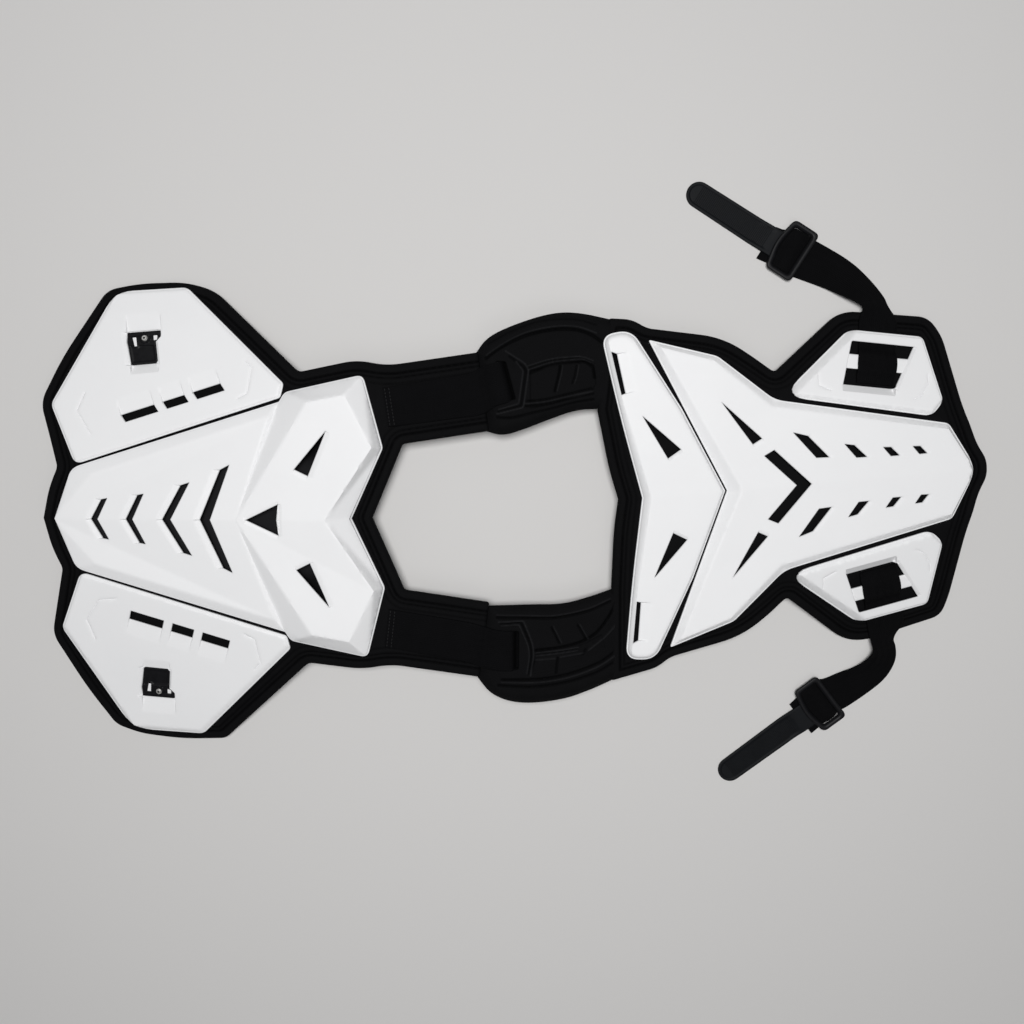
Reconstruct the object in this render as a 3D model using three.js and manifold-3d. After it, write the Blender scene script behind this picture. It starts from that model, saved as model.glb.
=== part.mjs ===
// Motocross chest protector laid flat on its inner side: chest panel at the left, back panel at the right.
// Millimetres, +Z up, resting on z = 0. A panel is drawn in its own u and v: u runs from the chest's belly
// end to the neck and from the back's collar to the waist, v is the distance from the panel's middle line.
import * as THREE from "three";
import { mergeVertices } from "three/addons/utils/BufferGeometryUtils.js";
import Module from "manifold-3d";

const wasm = await Module();
wasm.setup();

// Driving dimensions
const CLEARANCE = 0.3;
const PAD = 8;
const PAD_CELL = 17;
const WALL = 2.6;
const RIM = 3;
const WEBBING = 2;
const CUT = 200;
const ROUND_STEPS = 5;

const CHEST = {
  x: -300, y: 0, turn: 0,
  fold: { u: -118, v: 50, rise: 17.4, slope: 11, fadeFrom: -400, fadeTo: -399 },
  reach: { from: -160, to: 285, side: 235 },
};
const BACK = {
  x: 300, y: 34.3, turn: 5,
  fold: { u: -31.5, v: 83.5, rise: -12.7, slope: 13, fadeFrom: -62, fadeTo: -30 },
  reach: { from: -220, to: 168, side: 190 },
};

// Half outlines, from the middle line at one end to the middle line at the other; r rounds the corner
const CHEST_PAD = [
  { u: -152.5, v: 0, r: 0 }, { u: -146, v: 28, r: 14 }, { u: -137, v: 49, r: 4 }, { u: -146.5, v: 82, r: 14 },
  { u: -154.5, v: 112, r: 16 }, { u: -99.5, v: 213.5, r: 16 }, { u: -60, v: 226, r: 30 },
  { u: 9.5, v: 226.5, r: 22 },
  { u: 96, v: 139.5, r: 5 }, { u: 152, v: 151, r: 24 }, { u: 181, v: 145.5, r: 24 }, { u: 268, v: 158, r: 3 },
  { u: 278, v: 83.5, r: 3 }, { u: 195, v: 71, r: 3 }, { u: 188, v: 54, r: 10 }, { u: 165, v: 0, r: 0 },
];
const BACK_PAD = [
  { u: -197.5, v: 0, r: 0 }, { u: -204, v: 30, r: 30 }, { u: -211, v: 88, r: 3 }, { u: -206, v: 175.5, r: 3 },
  { u: -172, v: 170.5, r: 12 }, { u: -158, v: 161, r: 6 }, { u: -86, v: 146, r: 22 },
  { u: -38.5, v: 109, r: 5 },
  { u: 25.5, v: 161, r: 18 }, { u: 113, v: 150, r: 16 }, { u: 126, v: 130, r: 18 },
  { u: 140, v: 58, r: 20 }, { u: 151, v: 24, r: 12 }, { u: 160, v: 8, r: 10 }, { u: 160, v: 0, r: 0 },
];

// Chest plate: points of the upper half with their height above the pad
const CHEST_PLATE = {
  tip: { u: -139.5, v: 0, h: 6 }, corner: { u: -121, v: 48.8, h: RIM }, end: { u: 79, v: 111.5, h: RIM },
  shoulder: { u: 84, v: 120.5, h: RIM }, crest: { u: 159, v: 137, h: RIM },
  horn: { u: 177, v: 67.5, h: RIM },
  notch: { u: 146, v: 0, h: RIM + 3 }, apex: { u: 38, v: 0, h: 16.5 }, cornerIn: { u: -100, v: 43.5, h: 7.8 },
  endIn: { u: 71, v: 98.5, h: 7.6 }, chestA: { u: 108, v: 111, h: 17.5 }, chestB: { u: 143.5, v: 118, h: 17 },
  chestC: { u: 168, v: 68.5, h: 16 }, chestD: { u: 123, v: 0, h: 19.5 },
};
const CHEST_FACETS = [
  ["tip", "apex", "endIn", "cornerIn"], ["tip", "cornerIn", "endIn", "end", "corner"],
  ["apex", "chestA", "shoulder", "end", "endIn"], ["apex", "chestD", "chestC", "chestB", "chestA"],
  ["chestA", "chestB", "crest", "shoulder"], ["chestB", "chestC", "horn", "crest"],
  ["chestC", "chestD", "notch", "horn"],
];
const CHEST_CORNERS = { corner: 8, shoulder: 5, crest: 7, horn: 3 };

// Chevron slots of the chest plate: tips on the middle line and the two corners of the upper arm's end
const CHEVRONS = [
  { tip: -103, inner: -96, endU: -93, endV: 18.7, innerU: -86.5, innerV: 20 },
  { tip: -69, inner: -62, endU: -57.5, endV: 23, innerU: -51, innerV: 24.3 },
  { tip: -33.5, inner: -25, endU: -15.5, endV: 32.4, innerU: -6.5, innerV: 35.3 },
  { tip: 3, inner: 13.3, endU: 22.5, endV: 47, innerU: 32, innerV: 52 },
];
const BACK_CHEVRON = { tip: -13, inner: -27.3, endU: -46.6, endV: 35.5, innerU: -56.4, innerV: 30.6 };
// Openings through the chest plate, corners as [u, v]
const CHEST_TRIANGLE = [[47.5, 0], [78.5, 15], [77, 0], [78.5, -15]];
const CHEST_EYE = [[125, 84], [94.5, 48], [107.3, 41.7]];

// Side plates: outline with corner radii, bevel inside the rim, and slots along the fold
const CHEST_WING = [
  { u: -117, v: 52, r: 8 }, { u: 80.6, v: 115.2, r: 2 }, { u: 83.5, v: 128.5, r: 2 },
  { u: -11.7, v: 220.3, r: 4 }, { u: -82, v: 216.5, r: 12 }, { u: -142.3, v: 109.2, r: 4 },
];
const WING_TOP = 6.5;
const WING_BEVEL = 9;
const WING_SLOTS = { rows: [[57.7, 91], [99.8, 121.5], [130.2, 157.8]], near: 25.3, far: 33, skew: 2.4 };
const CLIP_WINDOW = [[-71, 180.5], [-36.5, 183], [-38, 149], [-68, 147]];
const CLIP_HOOK = [
  [-70, 179], [-37.8, 181.5], [-37.8, 175.5], [-42.5, 170], [-40.5, 151], [-66.5, 149], [-68, 166],
  [-70, 170],
];
const CLIP_HEIGHT = 4.2;
const CLIP_RIVET = { u: -53, v: 173.5, radius: 3.2, dome: 1.4 };

const BACK_WING = [
  { u: -35, v: 85.5, r: 13 }, { u: 106.5, v: 54.3, r: 9 }, { u: 119, v: 67, r: 6 }, { u: 107, v: 130.3, r: 5 },
  { u: 37, v: 143.3, r: 8 },
];
const BACK_WINDOW = [[37.5, 132.5], [97, 121.3], [73.5, 82.8], [24, 92]];
const BAR = { u: 59.5, v: 108.6, length: 62, half: 7, under: 2.4, over: 5, lean: -10.3 };
// How far the lower side plate sits towards the collar and out from the middle, as its lobe lies
const LOWER_WING_SLIDE = { u: -5.5, v: -1.5 };

// Back plates: half outlines, the bevel inside the rim and the rise of the middle line
const COLLAR = [
  { u: -175, v: 0, r: 0 }, { u: -190.5, v: 80, r: 60 }, { u: -202.8, v: 157.2, r: 10 },
  { u: -174.5, v: 160, r: 10 }, { u: -132, v: 82, r: 0 }, { u: -95.5, v: 0, r: 0 },
];
const BACK_PLATE = [
  { u: -93, v: 0, r: 0 }, { u: -158.5, v: 150, r: 3 }, { u: -94, v: 129, r: 4 }, { u: -42, v: 83, r: 9 },
  { u: 123, v: 46.5, r: 4 }, { u: 135.5, v: 25, r: 10 }, { u: 144, v: 8, r: 8 }, { u: 144, v: 0, r: 0 },
];
const BACK_SHELL = { bevel: 6.5, top: 7.2, ridge: 2.5 };
const COLLAR_SLOT = [[-194.5, 141.5], [-189.3, 139], [-184, 101.4], [-188, 100.2]];
const COLLAR_TRIANGLE = [[-169.5, 78.5], [-135.3, 43.7], [-148.3, 36]];
const BACK_TRIANGLE = [[-93.5, 85], [-57.3, 47.3], [-66.5, 42.4]];
const BACK_SLOTS = [
  [[-27, 50.8], [-14, 46.2], [5, 24.7], [-5.8, 25.3]],
  [[22, 34.8], [30.6, 32.9], [41, 21.3], [32.2, 22.1]],
  [[58.5, 28.7], [65, 27.8], [72.6, 20.4], [65, 20.7]],
  [[87, 27], [92.8, 26.5], [99, 20], [92.6, 20.3]],
];

// Shoulder pads: a row for each section from the chest to the back, outer and inner edge in plan, thickness
const SHOULDER = { edge: 4, crown: 9, inset: 9, bow: 3, relief: 1.6, rib: 3 };
const SHOULDER_ROWS = {
  upper: [
    { outX: -31.5, outY: 161, inX: -21, inY: 82.5, thick: 5.5 },
    { outX: -22, outY: 173, inX: -9, inY: 79.3, thick: 9 },
    { outX: 0, outY: 184, inX: 10, inY: 84.5, thick: 9 },
    { outX: 36, outY: 194.4, inX: 37, inY: 94, thick: 9 },
    { outX: 60, outY: 196, inX: 62, inY: 102, thick: 9 },
    { outX: 78.2, outY: 193, inX: 81.3, inY: 104, thick: 8 },
  ],
  lower: [
    { outX: -30.5, outY: -161, inX: -20.5, inY: -86, thick: 5.5 },
    { outX: -16, outY: -177, inX: -4, inY: -86, thick: 9 },
    { outX: 12, outY: -183.5, inX: 20, inY: -85, thick: 9 },
    { outX: 52, outY: -179.3, inX: 50, inY: -85.5, thick: 9 },
    { outX: 82, outY: -172, inX: 78, inY: -78, thick: 9 },
    { outX: 108, outY: -160, inX: 96, inY: -71.5, thick: 8 },
  ],
};
const SHOULDER_SLOT = {
  upper: [[-16, 153], [-6, 153], [4.5, 111.5], [-5, 110.5]],
  lower: [[-4, -108.5], [6, -108.5], [6, -152.5], [-4, -152.5]],
};
const SHOULDER_RIBS = {
  upper: [
    { x0: -7, y0: 156, x1: 15, y1: 149 }, { x0: 15, y0: 149, x1: 12, y1: 105 },
    { x0: 12, y0: 105, x1: -12, y1: 100 }, { x0: 18, y0: 141, x1: 69, y1: 150 },
    { x0: 69, y0: 150, x1: 78, y1: 145 }, { x0: 45.5, y0: 143, x1: 41.7, y1: 121 },
    { x0: 60.5, y0: 146, x1: 58.7, y1: 126 },
  ],
  lower: [
    { x0: -14, y0: -103, x1: 8, y1: -101.5 }, { x0: 8, y0: -101.5, x1: 21, y1: -128 },
    { x0: 21, y0: -128, x1: 17, y1: -157 }, { x0: 21, y0: -130, x1: 68, y1: -123 },
    { x0: 68, y0: -123, x1: 86, y1: -113 }, { x0: 37, y0: -108, x1: 46, y1: -126 },
    { x0: 64, y0: -105, x1: 71, y1: -122 }, { x0: 47, y0: -134, x1: 44, y1: -148 },
  ],
};

// Webbing: a row for each section, edges a and b in plan, height of the middle of the webbing at each edge
const TAB_TOP = { on: PAD + CLEARANCE + WEBBING / 2, over: 10.8, turn: 7, below: -3.5 };
const HOOK_STRAP = {
  upper: [
    { ax: -123, ay: 124.5, bx: -118, by: 87.5, h: TAB_TOP.on },
    { ax: -49, ay: 136.5, bx: -43, by: 97, h: TAB_TOP.on },
    { ax: -35, ay: 138.5, bx: -30, by: 98.6, h: TAB_TOP.on },
    { ax: -22, ay: 144, bx: -13, by: 106, h: TAB_TOP.over },
    { ax: -13, ay: 149.2, bx: -3, by: 112.6, h: TAB_TOP.over },
    { ax: -10.2, ay: 150.5, bx: -0.2, by: 113.2, h: TAB_TOP.turn },
    { ax: -10.2, ay: 150.5, bx: -0.2, by: 113.2, h: TAB_TOP.below },
  ],
  lower: [
    { ax: -120, ay: -89, bx: -124.5, by: -127, h: TAB_TOP.on },
    { ax: -45, ay: -101.5, bx: -49, by: -140.5, h: TAB_TOP.on },
    { ax: -33, ay: -104, bx: -37, by: -144.5, h: TAB_TOP.on },
    { ax: -18, ay: -109.3, bx: -18, by: -149.5, h: TAB_TOP.over },
    { ax: -1, ay: -110.3, bx: -1, by: -150.5, h: TAB_TOP.over },
    { ax: 1.6, ay: -110.4, bx: 1.6, by: -150.6, h: TAB_TOP.turn },
    { ax: 1.6, ay: -110.4, bx: 1.6, by: -150.6, h: TAB_TOP.below },
  ],
};
// Inside the window: distance out from the bar's middle and height of the webbing's middle above the pad
const STRAP_ON_BAR = [
  { out: -20, h: 1.4 }, { out: -14, h: 1.4 }, { out: -9, h: 5 }, { out: -7, h: 6.5 }, { out: 7, h: 6.5 },
  { out: 9, h: 5 }, { out: 14, h: 1.4 }, { out: 30, h: 1.4 }, { out: 44.6, h: 1.4 },
];
const STRAP_HALF = 18.5;
const STRAP_TUNNEL = { from: 18, to: 60, half: STRAP_HALF + 1, top: WEBBING + 2.5 * CLEARANCE };
const STRAP_RUN = {
  upper: [
    { ax: 367, ay: 203, az: 7, bx: 338, by: 202, bz: 11.5 },
    { ax: 362.5, ay: 212, az: 3, bx: 331.5, by: 205.5, bz: 12 },
    { ax: 347, ay: 230, az: 1.3, bx: 317.5, by: 213.5, bz: 9 },
    { ax: 328, ay: 247, az: 1.3, bx: 304.5, by: 220.5, bz: 3 },
    { ax: 296.5, ay: 264.5, az: 1.3, bx: 275, by: 231, bz: 1.3 },
  ],
  lower: [
    { ax: 388, ay: -124, az: 7, bx: 359, by: -129.5, bz: 11 },
    { ax: 391.5, ay: -135, az: 3, bx: 361, by: -137.5, bz: 12 },
    { ax: 389, ay: -151, az: 1.3, bx: 357, by: -147.5, bz: 10 },
    { ax: 380.5, ay: -169, az: 1.3, bx: 347, by: -156.5, bz: 5 },
    { ax: 363, ay: -184, az: 1.3, bx: 333, by: -162.5, bz: 1.5 },
    { ax: 339, ay: -201, az: 1.3, bx: 317, by: -170, bz: 1.3 },
  ],
};

// Buckle and tongue, drawn along the strap: x runs to the tongue's tip, pull is how far the tongue stands out
const BUCKLE_AT = {
  upper: { x: 270, y: 255.5, turn: 148.2, pull: -3, offset: 2 },
  lower: { x: 313, y: -193.7, turn: 217.6, pull: 6, offset: 2.6 },
};
const BUCKLE = [[-14, -26], [14, -26], [19.5, 0], [14, 26], [-14, 26]];
const BUCKLE_WINDOW = [[-8.5, -20.5], [9.5, -20.5], [14, 0], [9.5, 20.5], [-8.5, 20.5]];
const BUCKLE_HEIGHT = { bottom: 5.4, top: 9.2 };
const STRAP_END = { at: 26, half: 18.5, shift: 8 };
const TONGUE = [
  { x: 8, half: 13, z: 2.7 }, { x: 28, half: 13, z: 2.7 }, { x: 44, half: 13, z: CLEARANCE },
  { x: 100, half: 12.4, z: CLEARANCE }, { x: 106, half: 11.6, z: CLEARANCE },
  { x: 111, half: 10, z: CLEARANCE }, { x: 115.5, half: 7.4, z: CLEARANCE },
  { x: 118.5, half: 4.6, z: CLEARANCE }, { x: 119.8, half: 2, z: CLEARANCE },
];
const TONGUE_THICK = 2.4;

// Materials
const material = (color, roughness, metalness = 0) =>
  new THREE.MeshStandardMaterial({ color, roughness, metalness });
const WHITE_PLASTIC = material("#ececec", 0.38);
const BLACK_FOAM = material("#1d1d1f", 0.85);
const BLACK_WEBBING = material("#161617", 0.9);
const DARK_PLASTIC = material("#242528", 0.5);
const DARK_RUBBER = material("#1f2023", 0.7);
const STEEL = material("#a9abad", 0.3, 1);

const degrees = THREE.MathUtils.degToRad;
const vec = (u, v) => new THREE.Vector2(u, v);
const pairs = (rows) => rows.map(([u, v]) => vec(u, v));
const mirrored = (points) => points.map((p) => vec(p.x, -p.y)).reverse();

// Solids: a closed geometry as a solid for cutting, and back
function solid(geometry) {
  const bare = geometry.index ? geometry.toNonIndexed() : geometry.clone();
  bare.deleteAttribute("normal");
  bare.deleteAttribute("uv");
  const merged = mergeVertices(bare, 1e-4);
  return new wasm.Manifold(new wasm.Mesh({
    numProp: 3,
    vertProperties: new Float32Array(merged.attributes.position.array),
    triVerts: new Uint32Array(merged.index.array),
  }));
}

function geometry(body) {
  const mesh = body.getMesh();
  const result = new THREE.BufferGeometry();
  result.setAttribute("position", new THREE.BufferAttribute(new Float32Array(mesh.vertProperties), 3));
  result.setIndex(new THREE.BufferAttribute(new Uint32Array(mesh.triVerts), 1));
  result.computeVertexNormals();
  return result;
}

function fromTriangles(vertices, triangles) {
  const result = new THREE.BufferGeometry();
  const flat = vertices.flatMap((p) => [p.x, p.y, p.z]);
  result.setAttribute("position", new THREE.Float32BufferAttribute(flat, 3));
  result.setIndex(triangles.flat());
  return result;
}

// Outline with rounded corners, from points that carry a radius
function roundedShape(rows) {
  const shape = new THREE.Shape();
  rows.forEach((row, i) => {
    const here = vec(row.u, row.v);
    const before = rows[(i + rows.length - 1) % rows.length];
    const after = rows[(i + 1) % rows.length];
    const back = vec(before.u, before.v).sub(here);
    const ahead = vec(after.u, after.v).sub(here);
    const cut = Math.min(row.r, back.length() * 0.45, ahead.length() * 0.45);
    const start = here.clone().addScaledVector(back.normalize(), cut);
    const stop = here.clone().addScaledVector(ahead.normalize(), cut);
    if (i === 0) shape.moveTo(start.x, start.y);
    else shape.lineTo(start.x, start.y);
    if (cut > 0) shape.quadraticCurveTo(here.x, here.y, stop.x, stop.y);
  });
  shape.closePath();
  return shape;
}

const wholeOutline = (half) => [
  ...half,
  ...half.filter((p) => p.v > 0).map((p) => ({ ...p, v: -p.v })).reverse(),
].reverse();

function prism(shape, bottom, top) {
  const options = { depth: top - bottom, bevelEnabled: false, curveSegments: ROUND_STEPS };
  return new THREE.ExtrudeGeometry(shape, options).translate(0, 0, bottom);
}

const cutter = (points) => solid(prism(new THREE.Shape(points), -CUT, CUT));

// The panels' bend: the side lobes slope down from the fold until their far edge lies on the ground
function foldDrop(panel, u, v) {
  const { fold } = panel;
  const rise = degrees(fold.rise);
  const beyond = (Math.abs(v) - fold.v) * Math.cos(rise) - (u - fold.u) * Math.sin(rise);
  const share = THREE.MathUtils.smoothstep(u, fold.fadeFrom, fold.fadeTo);
  return Math.max(0, beyond) * Math.tan(degrees(fold.slope)) * share;
}

const liftOf = (panel, half) =>
  Math.max(...roundedShape(half).getPoints(ROUND_STEPS).map((p) => foldDrop(panel, p.x, p.y)));

CHEST.lift = liftOf(CHEST, CHEST_PAD);
BACK.lift = liftOf(BACK, BACK_PAD);

const padTop = (panel, u, v) => panel.lift + PAD - foldDrop(panel, u, v);

// A piece drawn flat above the pad takes the panel's bend
function laid(panel, flat) {
  const position = flat.attributes.position;
  for (let i = 0; i < position.count; i += 1) {
    position.setZ(i, position.getZ(i) + padTop(panel, position.getX(i), position.getY(i)));
  }
  return flat;
}

// Foam sheet of one thickness that follows the bend, trimmed to the pad's outline
function padGeometry(panel, half) {
  const { from, to, side } = panel.reach;
  const columns = Math.ceil((to - from) / PAD_CELL);
  const lines = Math.ceil((2 * side) / PAD_CELL);
  const vertices = [];
  const triangles = [];
  for (let i = 0; i <= columns; i += 1) {
    for (let j = 0; j <= lines; j += 1) {
      const u = THREE.MathUtils.lerp(from, to, i / columns);
      const v = THREE.MathUtils.lerp(-side, side, j / lines);
      const top = padTop(panel, u, v);
      vertices.push(new THREE.Vector3(u, v, top), new THREE.Vector3(u, v, top - PAD));
    }
  }
  const at = (i, j, layer) => 2 * (i * (lines + 1) + j) + layer;
  const quad = (a, b, c, d) => triangles.push([a, b, c], [a, c, d]);
  for (let i = 0; i < columns; i += 1) {
    for (let j = 0; j < lines; j += 1) {
      quad(at(i, j, 0), at(i + 1, j, 0), at(i + 1, j + 1, 0), at(i, j + 1, 0));
      quad(at(i, j, 1), at(i, j + 1, 1), at(i + 1, j + 1, 1), at(i + 1, j, 1));
    }
    quad(at(i, 0, 1), at(i + 1, 0, 1), at(i + 1, 0, 0), at(i, 0, 0));
    quad(at(i, lines, 0), at(i + 1, lines, 0), at(i + 1, lines, 1), at(i, lines, 1));
  }
  for (let j = 0; j < lines; j += 1) {
    quad(at(0, j, 0), at(0, j + 1, 0), at(0, j + 1, 1), at(0, j, 1));
    quad(at(columns, j, 1), at(columns, j + 1, 1), at(columns, j + 1, 0), at(columns, j, 0));
  }
  const outline = solid(prism(roundedShape(wholeOutline(half)), -CUT, CUT));
  return geometry(solid(fromTriangles(vertices, triangles)).intersect(outline));
}

// Moulded shell: facets between points with heights, one wall thick, closed along its open edges
function shell(points, facets) {
  const vertices = points.map((p) => new THREE.Vector3(p.u, p.v, p.h));
  const tops = facets.flatMap((facet) => {
    const contour = facet.map((i) => vec(points[i].u, points[i].v));
    const order = THREE.ShapeUtils.isClockWise(contour) ? [...facet].reverse() : facet;
    const flat = order.map((i) => vec(points[i].u, points[i].v));
    return THREE.ShapeUtils.triangulateShape(flat, []).map((face) => face.map((k) => order[k]));
  });
  const under = points.length;
  const lower = vertices.map((p) => new THREE.Vector3(p.x, p.y, p.z - WALL));
  const edges = new Set(tops.flatMap(([a, b, c]) => [`${a} ${b}`, `${b} ${c}`, `${c} ${a}`]));
  const sides = [...edges].map((edge) => edge.split(" ").map(Number))
    .filter(([a, b]) => !edges.has(`${b} ${a}`))
    .flatMap(([a, b]) => [[b, a, a + under], [b, a + under, b + under]]);
  const bottoms = tops.map(([a, b, c]) => [a + under, c + under, b + under]);
  return fromTriangles([...vertices, ...lower], [...tops, ...bottoms, ...sides]);
}

function insetRing(ring, distance) {
  return ring.map((p, i) => {
    const before = ring[(i + ring.length - 1) % ring.length];
    const after = ring[(i + 1) % ring.length];
    const into = vec(p.u - before.u, p.v - before.v).normalize();
    const away = vec(after.u - p.u, after.v - p.v).normalize();
    const middle = vec(-into.y - away.y, into.x + away.x).normalize();
    const reach = distance / Math.max(0.35, middle.x * -into.y + middle.y * into.x);
    return { u: p.u + middle.x * reach, v: p.v + middle.y * reach };
  });
}

// Plate with a rim, a bevel and a top; split along the middle line where that line is a ridge
function bevelledShell(ring, { bevel, top, ridge = 0 }) {
  const n = ring.length;
  const inner = insetRing(ring, bevel);
  const points = [
    ...ring.map((p) => ({ ...p, h: RIM })),
    ...inner.map((p, i) => ({ ...p, h: top + (ring[i].v === 0 ? ridge : 0) })),
  ];
  const facets = ring.map((_, i) => [i, (i + 1) % n, n + ((i + 1) % n), n + i]);
  const tops = ridge ? [(p) => p.v >= 0, (p) => p.v <= 0] : [() => true];
  tops.forEach((side) => facets.push(ring.map((p, i) => (side(p) ? n + i : -1)).filter((i) => i >= 0)));
  return shell(points, facets);
}

function trimmed(panel, flat, ring, cuts) {
  const outline = solid(prism(roundedShape(ring), -CUT, CUT));
  const cut = cuts.reduce((body, points) => body.subtract(cutter(points)), solid(flat).intersect(outline));
  return laid(panel, geometry(cut));
}

// Ring of sections joined into one closed body, with its faces turned outwards
function loft(sections) {
  const count = sections[0].length;
  const vertices = sections.flat();
  const triangles = [];
  for (let s = 0; s + 1 < sections.length; s += 1) {
    for (let k = 0; k < count; k += 1) {
      const a = s * count + k;
      const b = s * count + ((k + 1) % count);
      triangles.push([a, b, b + count], [a, b + count, a + count]);
    }
  }
  const last = vertices.length - count;
  for (let k = 1; k + 1 < count; k += 1) {
    triangles.push([0, k + 1, k], [last, last + k, last + k + 1]);
  }
  const volume = triangles.reduce(
    (sum, [a, b, c]) => sum + vertices[a].dot(vertices[b].clone().cross(vertices[c])), 0);
  return fromTriangles(vertices, volume > 0 ? triangles : triangles.map(([a, b, c]) => [a, c, b]));
}

// Webbing through rows of two edge points, with its thickness square to the band
function webbing(rows) {
  const middles = rows.map((row) => row.a.clone().add(row.b).multiplyScalar(0.5));
  return loft(rows.map(({ a, b }, i) => {
    const before = middles[Math.max(0, i - 1)];
    const after = middles[Math.min(rows.length - 1, i + 1)];
    const across = b.clone().sub(a);
    const normal = after.clone().sub(before).cross(across).normalize().multiplyScalar(WEBBING / 2);
    return [a.clone().add(normal), b.clone().add(normal), b.clone().sub(normal), a.clone().sub(normal)];
  }));
}

function part(name, shape, finish, place = {}) {
  const mesh = new THREE.Mesh(shape, finish);
  mesh.name = name;
  mesh.position.set(place.x ?? 0, place.y ?? 0, 0);
  mesh.rotation.z = degrees(place.turn ?? 0);
  return mesh;
}

const chevron = (c) => [
  vec(c.tip, 0), vec(c.endU, -c.endV), vec(c.innerU, -c.innerV), vec(c.inner, 0), vec(c.innerU, c.innerV),
  vec(c.endU, c.endV),
];
const bothSides = (points) => [points, mirrored(points)];
const SIDES = { upper: 1, lower: -1 };
const flipped = (points, side) => (side > 0 ? points : mirrored(points));
const flippedRing = (ring, side) => (side > 0 ? ring : ring.map((p) => ({ ...p, v: -p.v })).reverse());

const protector = new THREE.Group();

// Chest panel: pad and main plate
protector.add(part("front_pad", padGeometry(CHEST, CHEST_PAD), BLACK_FOAM, CHEST));

function chestPlate() {
  const names = Object.keys(CHEST_PLATE);
  const upper = names.map((name) => CHEST_PLATE[name]);
  const points = [...upper, ...upper.map((p) => ({ ...p, v: -p.v }))];
  const index = (name, side) => {
    const i = names.indexOf(name);
    return side > 0 || CHEST_PLATE[name].v === 0 ? i : i + names.length;
  };
  const facets = [1, -1].flatMap((side) =>
    CHEST_FACETS.map((facet) => facet.map((name) => index(name, side))));
  const rim = ["tip", "corner", "end", "shoulder", "crest", "horn", "notch"];
  const half = rim.map((name) => ({ ...CHEST_PLATE[name], r: CHEST_CORNERS[name] ?? 0 }));
  const cuts = [...CHEVRONS.map(chevron), pairs(CHEST_TRIANGLE), ...bothSides(pairs(CHEST_EYE))];
  return trimmed(CHEST, shell(points, facets), wholeOutline(half), cuts);
}
protector.add(part("front_plate", chestPlate(), WHITE_PLASTIC, CHEST));

// Chest side plates with their slots, hooks and rivets
function wingSlots() {
  const { fold } = CHEST;
  const rise = degrees(fold.rise);
  const along = (s, t) => vec(
    fold.u + s * Math.cos(rise) - t * Math.sin(rise), fold.v + s * Math.sin(rise) + t * Math.cos(rise));
  const { rows, near, far, skew } = WING_SLOTS;
  return rows.map(([s0, s1]) => [
    along(s0 + skew, near), along(s1 + skew, near), along(s1, far), along(s0, far),
  ]);
}

function rivetDome({ u, v, radius, dome }) {
  const profile = [vec(0, 0), vec(radius, 0), vec(radius * 0.8, dome * 0.7), vec(0, dome)];
  return new THREE.LatheGeometry(profile, 12).rotateX(Math.PI / 2).translate(u, v, 0);
}

for (const [name, side] of Object.entries(SIDES)) {
  const ring = flippedRing(CHEST_WING, side);
  const flat = bevelledShell(ring, { bevel: WING_BEVEL, top: WING_TOP });
  const cuts = [...wingSlots(), pairs(CLIP_WINDOW)].map((points) => flipped(points, side));
  const hook = prism(new THREE.Shape(flipped(pairs(CLIP_HOOK), side)), CLEARANCE, CLIP_HEIGHT);
  const rivet = rivetDome({ ...CLIP_RIVET, v: CLIP_RIVET.v * side }).translate(0, 0, CLIP_HEIGHT + CLEARANCE);
  protector.add(
    part(`front_wing_${name}`, trimmed(CHEST, flat, ring, cuts), WHITE_PLASTIC, CHEST),
    part(`clip_hook_${name}`, laid(CHEST, hook), DARK_PLASTIC, CHEST),
    part(`clip_rivet_${name}`, laid(CHEST, rivet), STEEL, CHEST),
  );
}

// Back panel: pad, collar and main plate
protector.add(part("back_pad", padGeometry(BACK, BACK_PAD), BLACK_FOAM, BACK));

function backShell(half, cuts) {
  const ring = wholeOutline(half);
  return trimmed(BACK, bevelledShell(ring, BACK_SHELL), ring, cuts);
}
const collarCuts = [COLLAR_SLOT, COLLAR_TRIANGLE].flatMap((rows) => bothSides(pairs(rows)));
const backCuts = [BACK_TRIANGLE, ...BACK_SLOTS].flatMap((rows) => bothSides(pairs(rows)));
protector.add(
  part("collar_plate", backShell(COLLAR, collarCuts), WHITE_PLASTIC, BACK),
  part("back_plate", backShell(BACK_PLATE, [chevron(BACK_CHEVRON), ...backCuts]), WHITE_PLASTIC, BACK),
);

// Back side plates: a window crossed by the bar that the waist strap loops round
const slideOf = (side) => (side > 0 ? { u: 0, v: 0 } : LOWER_WING_SLIDE);

function barGeometry(side) {
  const slide = slideOf(side);
  const box = new THREE.BoxGeometry(BAR.length, 2 * BAR.half, BAR.over - BAR.under);
  return box.rotateZ(degrees(BAR.lean * side))
    .translate(BAR.u + slide.u, BAR.v * side + slide.v, (BAR.over + BAR.under) / 2);
}

const onBar = (side, out, across) => {
  const lean = degrees(BAR.lean * side);
  const slide = slideOf(side);
  return vec(
    BAR.u + slide.u + across * Math.cos(lean) - out * side * Math.sin(lean),
    BAR.v * side + slide.v + across * Math.sin(lean) + out * side * Math.cos(lean));
};

// Room under the outer rim for the strap on its way out
function strapTunnel(side) {
  const { from, to, half, top } = STRAP_TUNNEL;
  const corners = [
    onBar(side, from, -half), onBar(side, from, half), onBar(side, to, half), onBar(side, to, -half),
  ];
  return prism(new THREE.Shape(corners), -PAD, top);
}

function toPlan(panel, { x, y }, h) {
  const flat = vec(x, y).rotateAround(vec(0, 0), degrees(panel.turn));
  return new THREE.Vector3(flat.x + panel.x, flat.y + panel.y, h + padTop(panel, x, y));
}

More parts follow.
